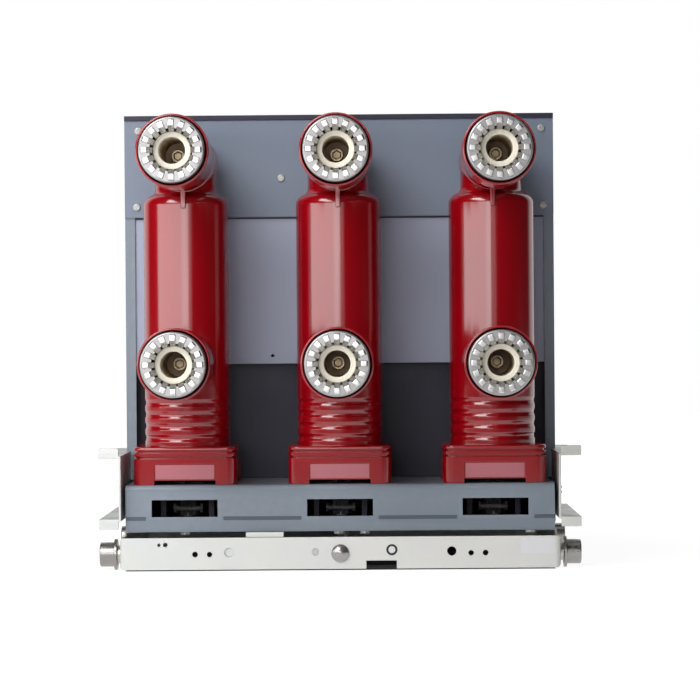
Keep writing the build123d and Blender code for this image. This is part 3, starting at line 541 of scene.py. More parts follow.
    # Painted shade: a darker copy of the bolt steel for the cross-pin thread, standing in for the shade
    # inside the base windows.
    DIM_STEEL = Finish(
        "dim_steel", "screw_steel", (0.34, 0.34, 0.33), (0.28, 0.28, 0.27), metallic=0.3,
        rough=(0.35, 0.50), patch_scale=70.0, grain_scale=900.0, grain_bump=0.08,
    )
    WHEEL = Finish(
        "turned_steel", "wheel_steel", (0.36, 0.345, 0.33), (0.28, 0.27, 0.26), metallic=1.0,
        rough=(0.22, 0.34), patch_scale=60.0, grain_scale=600.0, grain_bump=0.06,
        wear=0.3, wear_colour=(0.70, 0.69, 0.67), lathe=0.25,
    )
    CAP = Finish(
        "cap_steel", "screw_steel", (0.40, 0.39, 0.38), (0.31, 0.30, 0.30), metallic=0.9,
        rough=(0.24, 0.36), patch_scale=60.0, grain_scale=700.0, grain_bump=0.10,
        wear=0.3, wear_colour=(0.70, 0.69, 0.67),
    )
    DRIVE = Finish(
        "dark_drive_steel", "drive_steel", (0.024, 0.024, 0.026), (0.016, 0.016, 0.018), metallic=0.6,
        rough=(0.40, 0.55), patch_scale=60.0, grain_scale=700.0, grain_bump=0.15,
    )
    BLACK = Finish(
        "black_plastic", "handle_black", (0.025, 0.025, 0.027), (0.034, 0.034, 0.036),
        rough=(0.38, 0.5), patch_scale=30.0, grain_scale=900.0, grain_bump=0.2,
        wear=0.3, wear_colour=(0.10, 0.10, 0.10),
    )
    BUTTON = Finish(
        "moulded_button", "button_plastic", (0.08, 0.08, 0.085), (0.06, 0.06, 0.065),
        rough=(0.22, 0.32), patch_scale=30.0, grain_scale=900.0, grain_bump=0.08,
    )
    SMOKED = Finish(
        "smoked_window", "indicator_plastic", (0.03, 0.033, 0.036), (0.04, 0.043, 0.046),
        rough=(0.06, 0.12), patch_scale=20.0, grain_scale=500.0, grain_bump=0.02, coat=0.5,
    )
    GREY_PLUG = Finish(
        "grey_plug", "zinc_sheet", (0.52, 0.52, 0.53), (0.44, 0.44, 0.45),
        rough=(0.35, 0.45), patch_scale=60.0, grain_scale=700.0, grain_bump=0.06,
    )
    STICKER = Finish(
        "blank_sticker", "zinc_sheet", (0.70, 0.70, 0.72), (0.67, 0.67, 0.69),
        rough=(0.35, 0.45), patch_scale=40.0, grain_scale=700.0, grain_bump=0.04,
    )


class Bench:
    """Blender operators gathered into the few moves the pieces need."""

    @staticmethod
    def clear() -> None:
        """Deselect everything in object mode."""
        if bpy.context.mode != "OBJECT":
            bpy.ops.object.mode_set(mode="OBJECT")
        bpy.ops.object.select_all(action="DESELECT")

    @staticmethod
    def only(piece: Piece) -> None:
        """Select one object alone and make it active."""
        Bench.clear()
        piece.select_set(True)
        bpy.context.view_layer.objects.active = piece

    @staticmethod
    def named(piece: Piece, name: str) -> Piece:
        """Name an object and its mesh."""
        piece.name = name
        piece.data.name = name
        return piece

    @staticmethod
    def settle(piece: Piece, name: str) -> Piece:
        """Put the object's place and size into its mesh and name it."""
        Bench.only(piece)
        bpy.ops.object.transform_apply(location=True, rotation=True, scale=True)
        return Bench.named(piece, name)

    @staticmethod
    def edit(piece: Piece) -> None:
        """Open a piece in edit mode with all its points selected."""
        Bench.only(piece)
        bpy.ops.object.mode_set(mode="EDIT")
        bpy.ops.mesh.select_mode(type="VERT")
        bpy.ops.mesh.select_all(action="SELECT")

    @staticmethod
    def weld() -> None:
        """Merge doubled points of the piece in edit mode and turn its faces outwards."""
        bpy.ops.mesh.select_all(action="SELECT")
        bpy.ops.mesh.remove_doubles(threshold=WELD)
        bpy.ops.mesh.normals_make_consistent(inside=False)

    @staticmethod
    def block(name: str, low: Place, high: Place) -> Piece:
        """Add a box between two corners, ready to be shaped.

        Args:
            name: Name of the piece.
            low: Lowest corner.
            high: Highest corner.

        Returns:
            The box, with its place in its mesh.
        """
        Bench.clear()
        low, high = Vector(low), Vector(high)
        bpy.ops.mesh.primitive_cube_add(size=1.0, location=(low + high) / 2)
        made = bpy.context.active_object
        made.scale = high - low
        return Bench.settle(made, name)

    @staticmethod
    def rod(name: str, start: Place, end: Place, radius: float, sides: int = 48) -> Piece:
        """Add a round bar between two points, ready to be shaped.

        Args:
            name: Name of the piece.
            start: Centre of one end.
            end: Centre of the other end.
            radius: Radius of the bar.
            sides: Number of faces round it.

        Returns:
            The bar, with its place in its mesh.
        """
        Bench.clear()
        start, end = Vector(start), Vector(end)
        line = end - start
        bpy.ops.mesh.primitive_cylinder_add(
            vertices=sides, radius=radius, depth=line.length, location=(start + end) / 2,
            rotation=line.to_track_quat("Z", "Y").to_euler(),
        )
        return Bench.settle(bpy.context.active_object, name)

    @staticmethod
    def turned(
        name: str, profile: list[Point2], centre: Place, axis: Place, across: Place, steps: int = 96
    ) -> Piece:
        """Turn a profile about an axis, as on a lathe.

        Args:
            name: Name of the piece.
            profile: Points as (distance from the axis, distance along it), closed or ending on the axis.
            centre: Point on the axis where the distance along it is zero.
            axis: Direction of the axis.
            across: Direction in which the profile is drawn.
            steps: Number of steps round the axis.

        Returns:
            The turned piece.
        """
        Bench.clear()
        centre, axis, across = Vector(centre), Vector(axis).normalized(), Vector(across).normalized()
        places = [centre + across * r + axis * h for r, h in profile]
        bpy.ops.mesh.primitive_plane_add(size=SEED, location=places[0])
        made = Bench.settle(bpy.context.active_object, name)
        Bench.edit(made)
        bpy.ops.mesh.merge(type="CENTER")
        for before, after in zip(places, places[1:]):
            bpy.ops.mesh.extrude_region_move(TRANSFORM_OT_translate={"value": after - before})
        bpy.ops.mesh.select_all(action="SELECT")
        bpy.ops.mesh.spin(steps=steps, angle=math.tau, center=centre, axis=axis)
        Bench.weld()
        bpy.ops.object.mode_set(mode="OBJECT")
        return made

    @staticmethod
    def apply(piece: Piece, kind: str, **values: object) -> None:
        """Add one modifier, set it and apply it.

        Args:
            piece: The piece to change.
            kind: Blender's modifier type.
            **values: Settings of the modifier.
        """
        Bench.only(piece)
        tool = piece.modifiers.new(kind.lower(), kind)
        for key, value in values.items():
            setattr(tool, key, value)
        bpy.ops.object.modifier_apply(modifier=tool.name)

    @staticmethod
    def round_edges(piece: Piece, width: float, segments: int = 2, angle: float = 30.0) -> None:
        """Round every edge sharper than an angle."""
        Bench.apply(
            piece, "BEVEL", width=width, segments=segments, limit_method="ANGLE",
            angle_limit=math.radians(angle), use_clamp_overlap=True, harden_normals=False,
        )

    @staticmethod
    def bevel_where(piece: Piece, test: EdgeTest, width: float, segments: int) -> None:
        """Bevel in edit mode the edges whose two ends pass a test.

        Args:
            piece: The piece to change.
            test: Takes both ends of an edge and says whether it is bevelled.
            width: Width of the bevel.
            segments: Steps of the bevel.
        """
        Bench.only(piece)
        bpy.ops.object.mode_set(mode="EDIT")
        bpy.ops.mesh.select_mode(type="EDGE")
        bpy.ops.mesh.select_all(action="DESELECT")
        bpy.ops.object.mode_set(mode="OBJECT")
        for edge in piece.data.edges:
            edge.select = test(*(piece.data.vertices[i].co for i in edge.vertices))
        bpy.ops.object.mode_set(mode="EDIT")
        bpy.ops.mesh.bevel(offset=width, segments=segments, affect="EDGES")
        bpy.ops.object.mode_set(mode="OBJECT")

    @staticmethod
    def merge(piece: Piece, other: Piece, way: str = "UNION") -> None:
        """Join or cut one closed piece with another, which is then removed."""
        Bench.apply(piece, "BOOLEAN", object=other, operation=way, solver="EXACT")
        bpy.data.objects.remove(other)

    @staticmethod
    def join(pieces: list[Piece], name: str) -> Piece:
        """Make one object of several."""
        Bench.only(pieces[0])
        for piece in pieces:
            piece.select_set(True)
        if len(pieces) > 1:
            bpy.ops.object.join()
        return Bench.named(bpy.context.view_layer.objects.active, name)

    @staticmethod
    def copy(piece: Piece, shift: Place = (0, 0, 0)) -> Piece:
        """Copy a piece with its own mesh, moved by a shift."""
        mesh = piece.data.copy()
        mesh.transform(Matrix.Translation(Vector(shift)))
        made = bpy.data.objects.new(piece.name, mesh)
        bpy.context.scene.collection.objects.link(made)
        return made

    @staticmethod
    def row(first: Piece, places: list[Vector], name: str) -> Piece:
        """Copy a piece from the first of several places to the others and join them.

        Args:
            first: The piece at the first place.
            places: Every place, the first one included.
            name: Name of the joined piece.

        Returns:
            The joined piece.
        """
        return Bench.join([first] + [Bench.copy(first, place - places[0]) for place in places[1:]], name)

    @staticmethod
    def softened(node: str, name: str, width: float, segments: int = 2) -> Piece:
        """Copy a CAD node and round its edges a little, as folded sheet has.

        Args:
            node: Name of the CAD node.
            name: Name of the new piece.
            width: Width of the rounding.
            segments: Steps of the rounding.

        Returns:
            The softened copy.
        """
        made = Bench.copy(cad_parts[node])
        made.data.materials.clear()
        Bench.edit(made)
        bpy.ops.mesh.remove_doubles(threshold=WELD)
        bpy.ops.mesh.dissolve_limited(angle_limit=math.radians(FLAT_ANGLE))
        bpy.ops.object.mode_set(mode="OBJECT")
        Bench.round_edges(made, width, segments)
        return Bench.named(made, name)

    @staticmethod
    def dress(
        piece: Piece, paint: Paint, body: str = MAIN_BODY, stands_for: tuple[str, ...] = (),
        smooth: float = 35.0,
    ) -> Piece:
        """Give a finished piece its material, shading and place in the frame.

        Args:
            piece: The finished piece.
            paint: Its finish.
            body: Body that it rides on.
            stands_for: CAD nodes that it replaces.
            smooth: Angle in degrees below which edges shade smoothly.

        Returns:
            The piece.
        """
        Bench.only(piece)
        bpy.ops.object.shade_smooth_by_angle(angle=math.radians(smooth))
        Bench.apply(piece, "WEIGHTED_NORMAL", mode="FACE_AREA", weight=50, keep_sharp=True)
        piece.data.materials.clear()
        piece.data.materials.append(paint.value.material())
        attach(piece, body)
        if stands_for:
            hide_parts(*stands_for)
        log.info("piece %s: %d faces, %s", piece.name, len(piece.data.polygons), paint.value.name)
        return piece


def arc(centre: Point2, radius: float, start: float, end: float, steps: int) -> list[Point2]:
    """Points on part of a circle.

    Args:
        centre: Centre of the circle.
        radius: Its radius.
        start: First angle in degrees.
        end: Last angle in degrees.
        steps: Number of steps.

    Returns:
        The points, both ends included.
    """
    turns = [math.radians(start + (end - start) * i / steps) for i in range(steps + 1)]
    return [(centre[0] + radius * math.cos(t), centre[1] + radius * math.sin(t)) for t in turns]


@dataclass
class ContactSleeve:
    """Resin sleeve over one contact arm, a bell narrowing to the pole."""

    setback: float = 0.018
    mouth: float = 0.0474
    bore: float = 0.0444
    bell_end: float = 0.092
    taper: float = 0.026
    taper_steps: int = 12
    neck: float = 0.0425
    tail_bore: float = 0.032
    end: float = 0.2235
    lip: float = 0.0014

    def profile(self) -> list[Point2]:
        """Closed outline of the wall, from the mouth lip round to the bore."""
        points = arc((self.bore + self.lip, self.setback + self.lip), self.lip, 180, 270, 5)
        points += arc((self.mouth - self.lip, self.setback + self.lip), self.lip, 270, 360, 5)
        for step in range(self.taper_steps + 1):
            part = step / self.taper_steps
            ease = part * part * (3 - 2 * part)
            points.append((self.mouth + (self.neck - self.mouth) * ease, self.bell_end + self.taper * part))
        points += [(self.neck, self.end), (self.tail_bore, self.end)]
        points += [(self.tail_bore, self.bell_end + self.taper), (self.bore, self.bell_end)]
        points.append(points[0])
        return points

    def build(self) -> None:
        """Make the sleeves of all poles, two to a piece."""
        start = Vector((PHASES["left"], TIP_Y, CONTACT_HEIGHTS[0]))
        pattern = Bench.turned("sleeve", self.profile(), start, ALONG_Y, ALONG_X, FINE_STEPS)
        for word, x in PHASES.items():
            pair = [Bench.copy(pattern, Vector((x, TIP_Y, z)) - start) for z in CONTACT_HEIGHTS]
            piece = Bench.join(pair, f"resin_sleeves_{word}")
            Bench.dress(piece, Paint.RED_RESIN, stands_for=(f"arm_sleeves_{word}",), smooth=50)
        bpy.data.objects.remove(pattern)


@dataclass
class ResinPole:
    """One cast pole: foot block, grooved column, shoulder, neck and bosses."""

    column: float = 0.0585
    column_root: float = 0.004
    foot_half: float = 0.070
    foot_low: float = 0.115
    foot_top: float = 0.1665
    foot_corner: float = 0.014
    shoulder: float = 0.510
    shoulder_round: float = 0.014
    shoulder_turn: float = 62.0
    neck: float = 0.042
    neck_blend: float = 0.010
    head: float = 0.043
    head_back: float = 0.046
    head_round: float = 0.012
    boss_reach: float = 0.0665
    boss: float = 0.0425
    groove_first: float = 0.1775
    groove_pitch: float = 0.0160
    groove_half: float = 0.0046
    groove_depth: float = 0.0013
    groove_lip: float = 0.0009
    groove_count: int = 4
    foot_grooves: tuple[float, ...] = (0.1508, 0.1585)
    foot_groove_height: float = 0.003
    foot_groove_depth: float = 0.0025
    foot_edge: float = 0.003
    face_depth: float = 0.001
    face_height: float = 0.0288
    foot_soft: float = 0.0011
    arch_half: float = 0.0415
    arch_height: float = 0.006
    overrun: float = 0.014
    skin: float = 0.0003
    skin_gap: float = 0.0016
    skin_round: float = 0.00012
    gusset_half: float = 0.0034
    gusset_low: float = 0.490
    gusset_setback: float = 0.005
    gusset_share: float = 0.6
    gusset_round: float = 0.0012

    def column_profile(self) -> list[Point2]:
        """Outline of the column from its foot to the neck, ending on the axis."""
        root = self.foot_top - self.column_root
        points: list[Point2] = [(0.0, root), (self.column, root)]
        half, depth = self.groove_half, self.groove_depth
        radius = (half * half + depth * depth) / (2 * depth)
        swing = math.degrees(math.asin(half / radius))
        for index in range(self.groove_count):
            z = self.groove_first + index * self.groove_pitch
            points += arc((self.column + radius - depth, z), radius, 180 + swing, 180 - swing, 10)
        turn, bend, blend = self.shoulder_turn, self.shoulder_round, self.neck_blend
        points += arc((self.column - bend, self.shoulder - bend), bend, 0, turn, 10)
        reach, height = points[-1]
        slope = math.radians(turn)
        start = self.neck + blend * (1 - math.cos(slope))
        height += (reach - start) / math.tan(slope) + blend * math.sin(slope)
        points += arc((self.neck + blend, height), blend, 180 + turn, 180, 8)
        points += [(self.neck, CONTACT_HEIGHTS[1]), (0.0, CONTACT_HEIGHTS[1])]
        return points

    def _box(self, x: float, half_x: float, half_y: float, low: float, high: float) -> Piece:
        """Box about the pole axis, used to shape the foot.

        Args:
            x: Place of the pole axis.
            half_x: Half its width.
            half_y: Half its depth.
            low: Height of its underside.
            high: Height of its top.

        Returns:
            The box.
        """
        return Bench.block("box", (x - half_x, POLE_Y - half_y, low), (x + half_x, POLE_Y + half_y, high))

    def foot(self, x: float) -> Piece:
        """Foot block with rounded corners, grooves round it and an arched underside.

        Args:
            x: Place of the pole axis.

        Returns:
            The foot block.
        """
        half, arch, over = self.foot_half, self.arch_half, self.foot_half + self.overrun
        block = self._box(x, half, half, self.foot_low, self.foot_top)
        Bench.bevel_where(block, lambda a, b: abs(a.z - b.z) > NEAR, self.foot_corner, 8)
        Bench.bevel_where(block, lambda a, b: min(a.z, b.z) > self.foot_top - NEAR, self.foot_edge, 5)
        scale = (half - self.foot_groove_depth) / half
        axis = Matrix.Translation((x, POLE_Y, 0))
        shrink = axis @ Matrix.Diagonal((scale, scale, 1, 1)) @ axis.inverted()
        for low in self.foot_grooves:
            cutter = self._box(x, over, over, low, low + self.foot_groove_height)
            core = Bench.copy(block)
            core.data.transform(shrink)
            Bench.merge(cutter, core, "DIFFERENCE")
            Bench.merge(block, cutter, "DIFFERENCE")
        under = self.foot_low - self.overrun
        for half_x, half_y in ((arch, over), (over, arch)):
            cutter = self._box(x, half_x, half_y, under, self.foot_low + self.arch_height)
            Bench.merge(block, cutter, "DIFFERENCE")
        near, top = half - self.face_depth, self.foot_low + self.face_height
        for ends_x, ends_y in (
            ((-arch, arch), (-over, -near)), ((-over, -near), (-arch, arch)),
            ((-arch, arch), (near, over)), ((near, over), (-arch, arch)),
        ):
            cutter = Bench.block(
                "face", (x + ends_x[0], POLE_Y + ends_y[0], under), (x + ends_x[1], POLE_Y + ends_y[1], top)
            )
            Bench.merge(block, cutter, "DIFFERENCE")
        Bench.round_edges(block, self.foot_soft, segments=3, angle=40)
        return block

    def painted_highlight_faces(self) -> None:
        """Painted highlight: paler skins on the recessed front faces of the feet, standing in for a lamp's
        reflection on them.
        """
        skins = []
        front = POLE_Y - self.foot_half + self.face_depth
        half, gap = self.arch_half - self.skin_gap, self.skin_gap
        for x in PHASES.values():
            skin = Bench.block(
                "skin", (x - half, front - self.skin, self.foot_low + self.arch_height + gap),
                (x + half, front, self.foot_low + self.face_height - gap),
            )
            Bench.round_edges(skin, self.skin_round, segments=1)
            skins.append(skin)
        # The skins carry a painted highlight, not a paler resin.
        Bench.dress(Bench.join(skins, "foot_face_painted_highlights"), Paint.PALE_RESIN)

    def pattern(self, x: float) -> Piece:
        """One whole pole, from its foot to its terminal head.

        Args:
            x: Place of the pole axis.

        Returns:
            The pole.
        """
        lower_z, upper_z = CONTACT_HEIGHTS
        made = Bench.turned("column", self.column_profile(), (x, POLE_Y, 0), ALONG_Z, ALONG_X, FINE_STEPS)
        Bench.round_edges(made, self.groove_lip, segments=3, angle=20)
        profile = [(0.0, -self.boss_reach), (self.head, -self.boss_reach)]
        bend = self.head_round
        profile += arc((self.head - bend, self.head_back - bend), bend, 0, 90, 10)
        profile.append((0.0, self.head_back))
        upper = Bench.turned("head", profile, (x, POLE_Y, upper_z), ALONG_Y, ALONG_X, FINE_STEPS)
        front = POLE_Y - self.boss_reach
        lower = Bench.rod("boss", (x, POLE_Y, lower_z), (x, front, lower_z), self.boss, FINE_STEPS)
        share = self.gusset_share
        gusset = Bench.block(
            "gusset", (x - self.gusset_half, front + self.gusset_setback, self.gusset_low),
            (x + self.gusset_half, POLE_Y - self.neck * share, upper_z - self.head * share),
        )
        Bench.round_edges(gusset, self.gusset_round, segments=3)
        for part in (upper, lower, gusset, self.foot(x)):
            Bench.merge(made, part)
        return made

    def build(self) -> None:
        """Make the three poles and the painted highlights on the faces of their feet."""
        self.painted_highlight_faces()
        start = PHASES["left"]
        pattern = self.pattern(start)
        for word, x in PHASES.items():
            piece = Bench.named(Bench.copy(pattern, (x - start, 0, 0)), f"resin_pole_{word}")
            Bench.dress(piece, Paint.RED_RESIN, stands_for=(f"pole_{word}",), smooth=32)
        bpy.data.objects.remove(pattern)


@dataclass
class FingerContacts:
    """Sprung fingers: cage rings, coil springs, hollow arms and their screws."""

    cage_edge: float = 0.0004
    finger_edge: float = 0.0007
    spring_ring: float = 0.0373
    spring_radius: float = 0.0038
    spring_depth: float = 0.015
    spring_wire: float = 0.0006
    spring_turns: int = 64
    spring_lean: float = 14.0
    wire_sides: int = 5
    coil_steps: int = 9
    arm_radius: float = 0.0245
    arm_bore: float = 0.0172
    arm_setback: float = 0.017
    arm_bore_end: float = 0.146
    arm_tail: float = 0.029
    arm_tail_start: float = 0.084
    arm_end: float = 0.2235
    arm_chamfer: float = 0.0012
    screw_head: float = 0.009
    screw_height: float = 0.012
    screw_round: float = 0.0008
    socket: float = 0.005
    socket_depth: float = 0.006
    socket_overrun: float = 0.002

    def centres(self) -> list[Vector]:
        """Centres of the six contact mouths."""
        return [Vector((x, TIP_Y, z)) for x in PHASES.values() for z in CONTACT_HEIGHTS]

    def six(self, first: Piece, name: str) -> Piece:
        """Copy a piece made at the first mouth to the other five and join all."""
        return Bench.row(first, self.centres(), name)

    def cages(self) -> None:
        """Slotted cage rings round the finger noses, their edges softened."""
        piece = Bench.softened("finger_cages", "finger_cage_rings", self.cage_edge, 1)
        Bench.dress(piece, Paint.CAGE, stands_for=("finger_cages",), smooth=40)

    def springs(self) -> None:
        """Garter springs: one coil spun from its wire, then repeated round the fingers."""
        mouth = self.centres()[0]
        coil = mouth + Vector((self.spring_ring, self.spring_depth, 0))
        wire = coil + Vector((self.spring_radius - self.spring_wire, 0, 0))
        Bench.clear()
        bpy.ops.mesh.primitive_circle_add(vertices=self.wire_sides, radius=self.spring_wire, location=wire)
        made = Bench.settle(bpy.context.active_object, "coil")
        Bench.edit(made)
        bpy.ops.transform.rotate(value=math.pi / 2, orient_axis="X", center_override=wire)
        bpy.ops.mesh.spin(steps=self.coil_steps, angle=math.tau, center=coil, axis=ALONG_Z)
        Bench.weld()
        bpy.ops.transform.rotate(value=math.radians(self.spring_lean), orient_axis="X", center_override=coil)
        steps = self.spring_turns - 1
        span = math.tau * steps / self.spring_turns
        bpy.ops.mesh.spin(steps=steps, dupli=True, angle=span, center=mouth, axis=ALONG_Y)
        bpy.ops.object.mode_set(mode="OBJECT")
        Bench.dress(self.six(made, "garter_springs"), Paint.SPRING, stands_for=("finger_springs",), smooth=80)

    def arms(self) -> None:
        """Hollow arm ends seen inside the fingers."""
        edge = self.arm_chamfer
        points = arc((self.arm_bore + edge, self.arm_setback + edge), edge, 180, 270, 5)
        points += arc((self.arm_radius - edge, self.arm_setback + edge), edge, 270, 360, 5)
        points += [(self.arm_radius, self.arm_tail_start), (self.arm_tail, self.arm_tail_start)]
        points += [(self.arm_tail, self.arm_end), (0.0, self.arm_end)]
        points += [(0.0, self.arm_bore_end), (self.arm_bore, self.arm_bore_end), points[0]]
        arm = Bench.turned("arm", points, self.centres()[0], ALONG_Y, ALONG_X)
        Bench.dress(self.six(arm, "hollow_contact_arms"), Paint.ARM, stands_for=("contact_arms",), smooth=40)

    def screws(self) -> None:
        """Socket-head screws at the bottom of the arm bores."""
        inward = Vector(ALONG_Y)
        face = self.centres()[0] + inward * (self.arm_bore_end - self.screw_height)
        head = Bench.rod("screw", face, face + inward * self.screw_height, self.screw_head)
        corner = self.socket * 2 / math.sqrt(3)
        socket = Bench.rod(
            "socket", face - inward * self.socket_overrun, face + inward * self.socket_depth, corner, 6
        )
        Bench.merge(head, socket, "DIFFERENCE")
        Bench.round_edges(head, self.screw_round, segments=3)
        piece = self.six(head, "arm_socket_screws")
        Bench.dress(piece, Paint.BORE_SCREW, stands_for=("arm_screws",), smooth=40)

    def fingers(self) -> None:
        """Soften the edges of the CAD blades."""
        for word in PHASES:
            piece = Bench.softened(f"contact_fingers_{word}", f"finger_blades_{word}", self.finger_edge)
            Bench.dress(piece, Paint.SILVER, stands_for=(f"contact_fingers_{word}",), smooth=40)

    def build(self) -> None:
        """Make everything round the six contact mouths."""
        self.fingers()
        self.cages()
        self.springs()
        self.arms()
        self.screws()


@dataclass
class SheetWork:
    """Folded sheet and bar pieces taken from the CAD with softened edges."""

    paints: dict[str, Paint] = field(
        default_factory=lambda: {
            "base_deck": Paint.TRAY_PAINT,
            "base_floor": Paint.TRAY_PAINT,
            "base_rear_wall": Paint.TRAY_PAINT,
            "base_sides": Paint.TRAY_PAINT,
            # Painted shade: the posts seen in the base windows are dark navy, standing in for the shade
            # inside.
            "base_posts": Paint.DARK_PAINT,
            "housing_sides": Paint.TRAY_PAINT,
            # Painted light: the recessed middle panel gets the lighter copy of the grey coat.
            "rear_middle_panel": Paint.MIDDLE_PAINT,
            "front_cover": Paint.PANEL_PAINT,
            # Painted shade: the upper plate gets the darker copy of the grey coat.
            "rear_upper_plate": Paint.PLATE_PAINT,
            "housing_top": Paint.DARK_PAINT,
            # Dark navy for the lower panel's own paint together with painted shade in its recess.
            "rear_lower_panel": Paint.DARK_PAINT,
            "guide_bracket_left": Paint.ZINC,
            "guide_bracket_right": Paint.ZINC,
            "truck_rear_plate": Paint.ZINC,
            "truck_rails": Paint.ZINC,
            "front_beam": Paint.ZINC,
            "base_spacer": Paint.ZINC,
        }
    )
    edge: float = 0.0007
    tight: tuple[str, ...] = ("base_deck", "base_rear_wall", "housing_sides", "rear_middle_panel")
    tight_edge: float = 0.00025
    # Corners of the painted shadow strip under the upper plate.
    joint_low: Point3 = (-0.2868, 0.0476, 0.4805)
    joint_high: Point3 = (0.2868, 0.0480, 0.4829)
    seam_face: float = -0.1114
    seam_floor: float = -0.1110
    seam_low: float = 0.0676
    seam_high: float = 0.0724
    seam_ends: tuple[Point2, ...] = (
        (-0.2899, -0.2626), (-0.1574, -0.0526), (0.0526, 0.1574), (0.2626, 0.2899)
    )
    strip_round: float = 0.0001

    def seams(self) -> None:
        """Painted shade: dark strips in the pressed seam of the base wall, and a painted shadow strip under
        the upper plate.
        """
        strips = []
        for start, stop in self.seam_ends:
            low, high = (start, self.seam_face, self.seam_low), (stop, self.seam_floor, self.seam_high)
            strips.append(Bench.block("seam", low, high))
            Bench.round_edges(strips[-1], self.strip_round, segments=1)
        Bench.dress(Bench.join(strips, "base_seam_painted_shade"), Paint.SEAM_PAINT)
        # Painted shadow: a dark strip on the middle panel right under the upper plate's lower edge, where its
        # shadow falls.
        strip = Bench.block("plate_edge_painted_shadow", self.joint_low, self.joint_high)
        Bench.round_edges(strip, self.strip_round, segments=1)
        Bench.dress(strip, Paint.DARK_PAINT)

    def build(self) -> None:
        """Soften and dress every sheet piece."""
        self.seams()
        for node, paint in self.paints.items():
            edge = self.tight_edge if node in self.tight else self.edge
            Bench.dress(Bench.softened(node, f"sheet_{node}", edge), paint, stands_for=(node,))


@dataclass
class SmallParts:
    """Drive pieces, operating pieces and other solids carried over from the CAD."""

    paints: dict[str, Paint] = field(
        default_factory=lambda: {
            "drive_shaft": Paint.DRIVE,
            "rod_eyes": Paint.DRIVE,
            "clevis_pins": Paint.BOLT,
            "lead_screw": Paint.BOLT,
            "screw_cap": Paint.CAP,
            "crank_socket": Paint.BOLT,
            "wheel_axles": Paint.BOLT,
            "handles": Paint.BLACK,
            "charging_socket": Paint.BLACK,
            "push_buttons": Paint.BUTTON,
            "indicators": Paint.SMOKED,
        }
    )
    edge: float = 0.0005

    def build(self) -> None:
        """Soften and dress every small solid."""
        for node, paint in self.paints.items():
            Bench.dress(Bench.softened(node, f"part_{node}", self.edge), paint, stands_for=(node,), smooth=40)


@dataclass
class TruckWheels:
    """Four flanged steel rollers."""

    inner: float = 0.3025
    outer: float = 0.326
    flange: float = 0.021
    flange_width: float = 0.004
    flange_edge: float = 0.0008
    roller: float = 0.0165
    bore: float = 0.00706
    recess: float = 0.011
    recess_depth: float = 0.003
    edge: float = 0.0018

    def profile(self) -> list[Point2]:
        """Outline of a wheel as (radius, distance along the axle)."""
        edge, soft = self.edge, self.flange_edge
        step, floor = self.inner + self.flange_width, self.outer - self.recess_depth
        points = [(self.bore, self.inner)]
        points += arc((self.flange - soft, self.inner + soft), soft, 270, 360, 4)
        points += arc((self.flange - soft, step - soft), soft, 0, 90, 4)
        points += arc((self.roller + soft, step + soft), soft, 270, 180, 4)
        points += arc((self.roller - edge, self.outer - edge), edge, 0, 90, 5)
        points += [(self.recess, self.outer), (self.recess, floor), (self.bore, floor), points[0]]
        return points

    def build(self) -> None:
        """Turn each wheel and let it ride on its own body."""
        for end in Axle:
            for side in Side:
                centre = (0, end.value, self.flange)
                name = f"{end.word}_{side.word}"
                wheel = Bench.turned(f"roller_{name}", self.profile(), centre, (side.value, 0, 0), ALONG_Z)
                node = f"wheel_{name}"
                Bench.dress(wheel, Paint.WHEEL, body=f"{name}_wheel", stands_for=(node,), smooth=40)


@dataclass(frozen=True)
class PlateInsert:
    """Round insert in a hole of the truck plate, held by a flange behind it."""

    name: str
    x: float
    z: float
    face: float
    radius: float
    flange: float
    paint: Paint
    plate_back: float = -0.124
    edge: float = 0.0005
    flange_width: float = 0.0015

    def build(self) -> None:
        """Turn the insert and dress it."""
        deep = self.plate_back - self.face
        back = deep + self.flange_width
        profile = [(0.0, 0.0)] + arc((self.radius - self.edge, self.edge), self.edge, 270, 360, 4)
        profile += [(self.radius, deep), (self.flange, deep), (self.flange, back), (0.0, back)]
        made = Bench.turned(self.name, profile, (self.x, self.face, self.z), ALONG_Y, ALONG_X, 40)
        Bench.dress(made, self.paint, smooth=40)


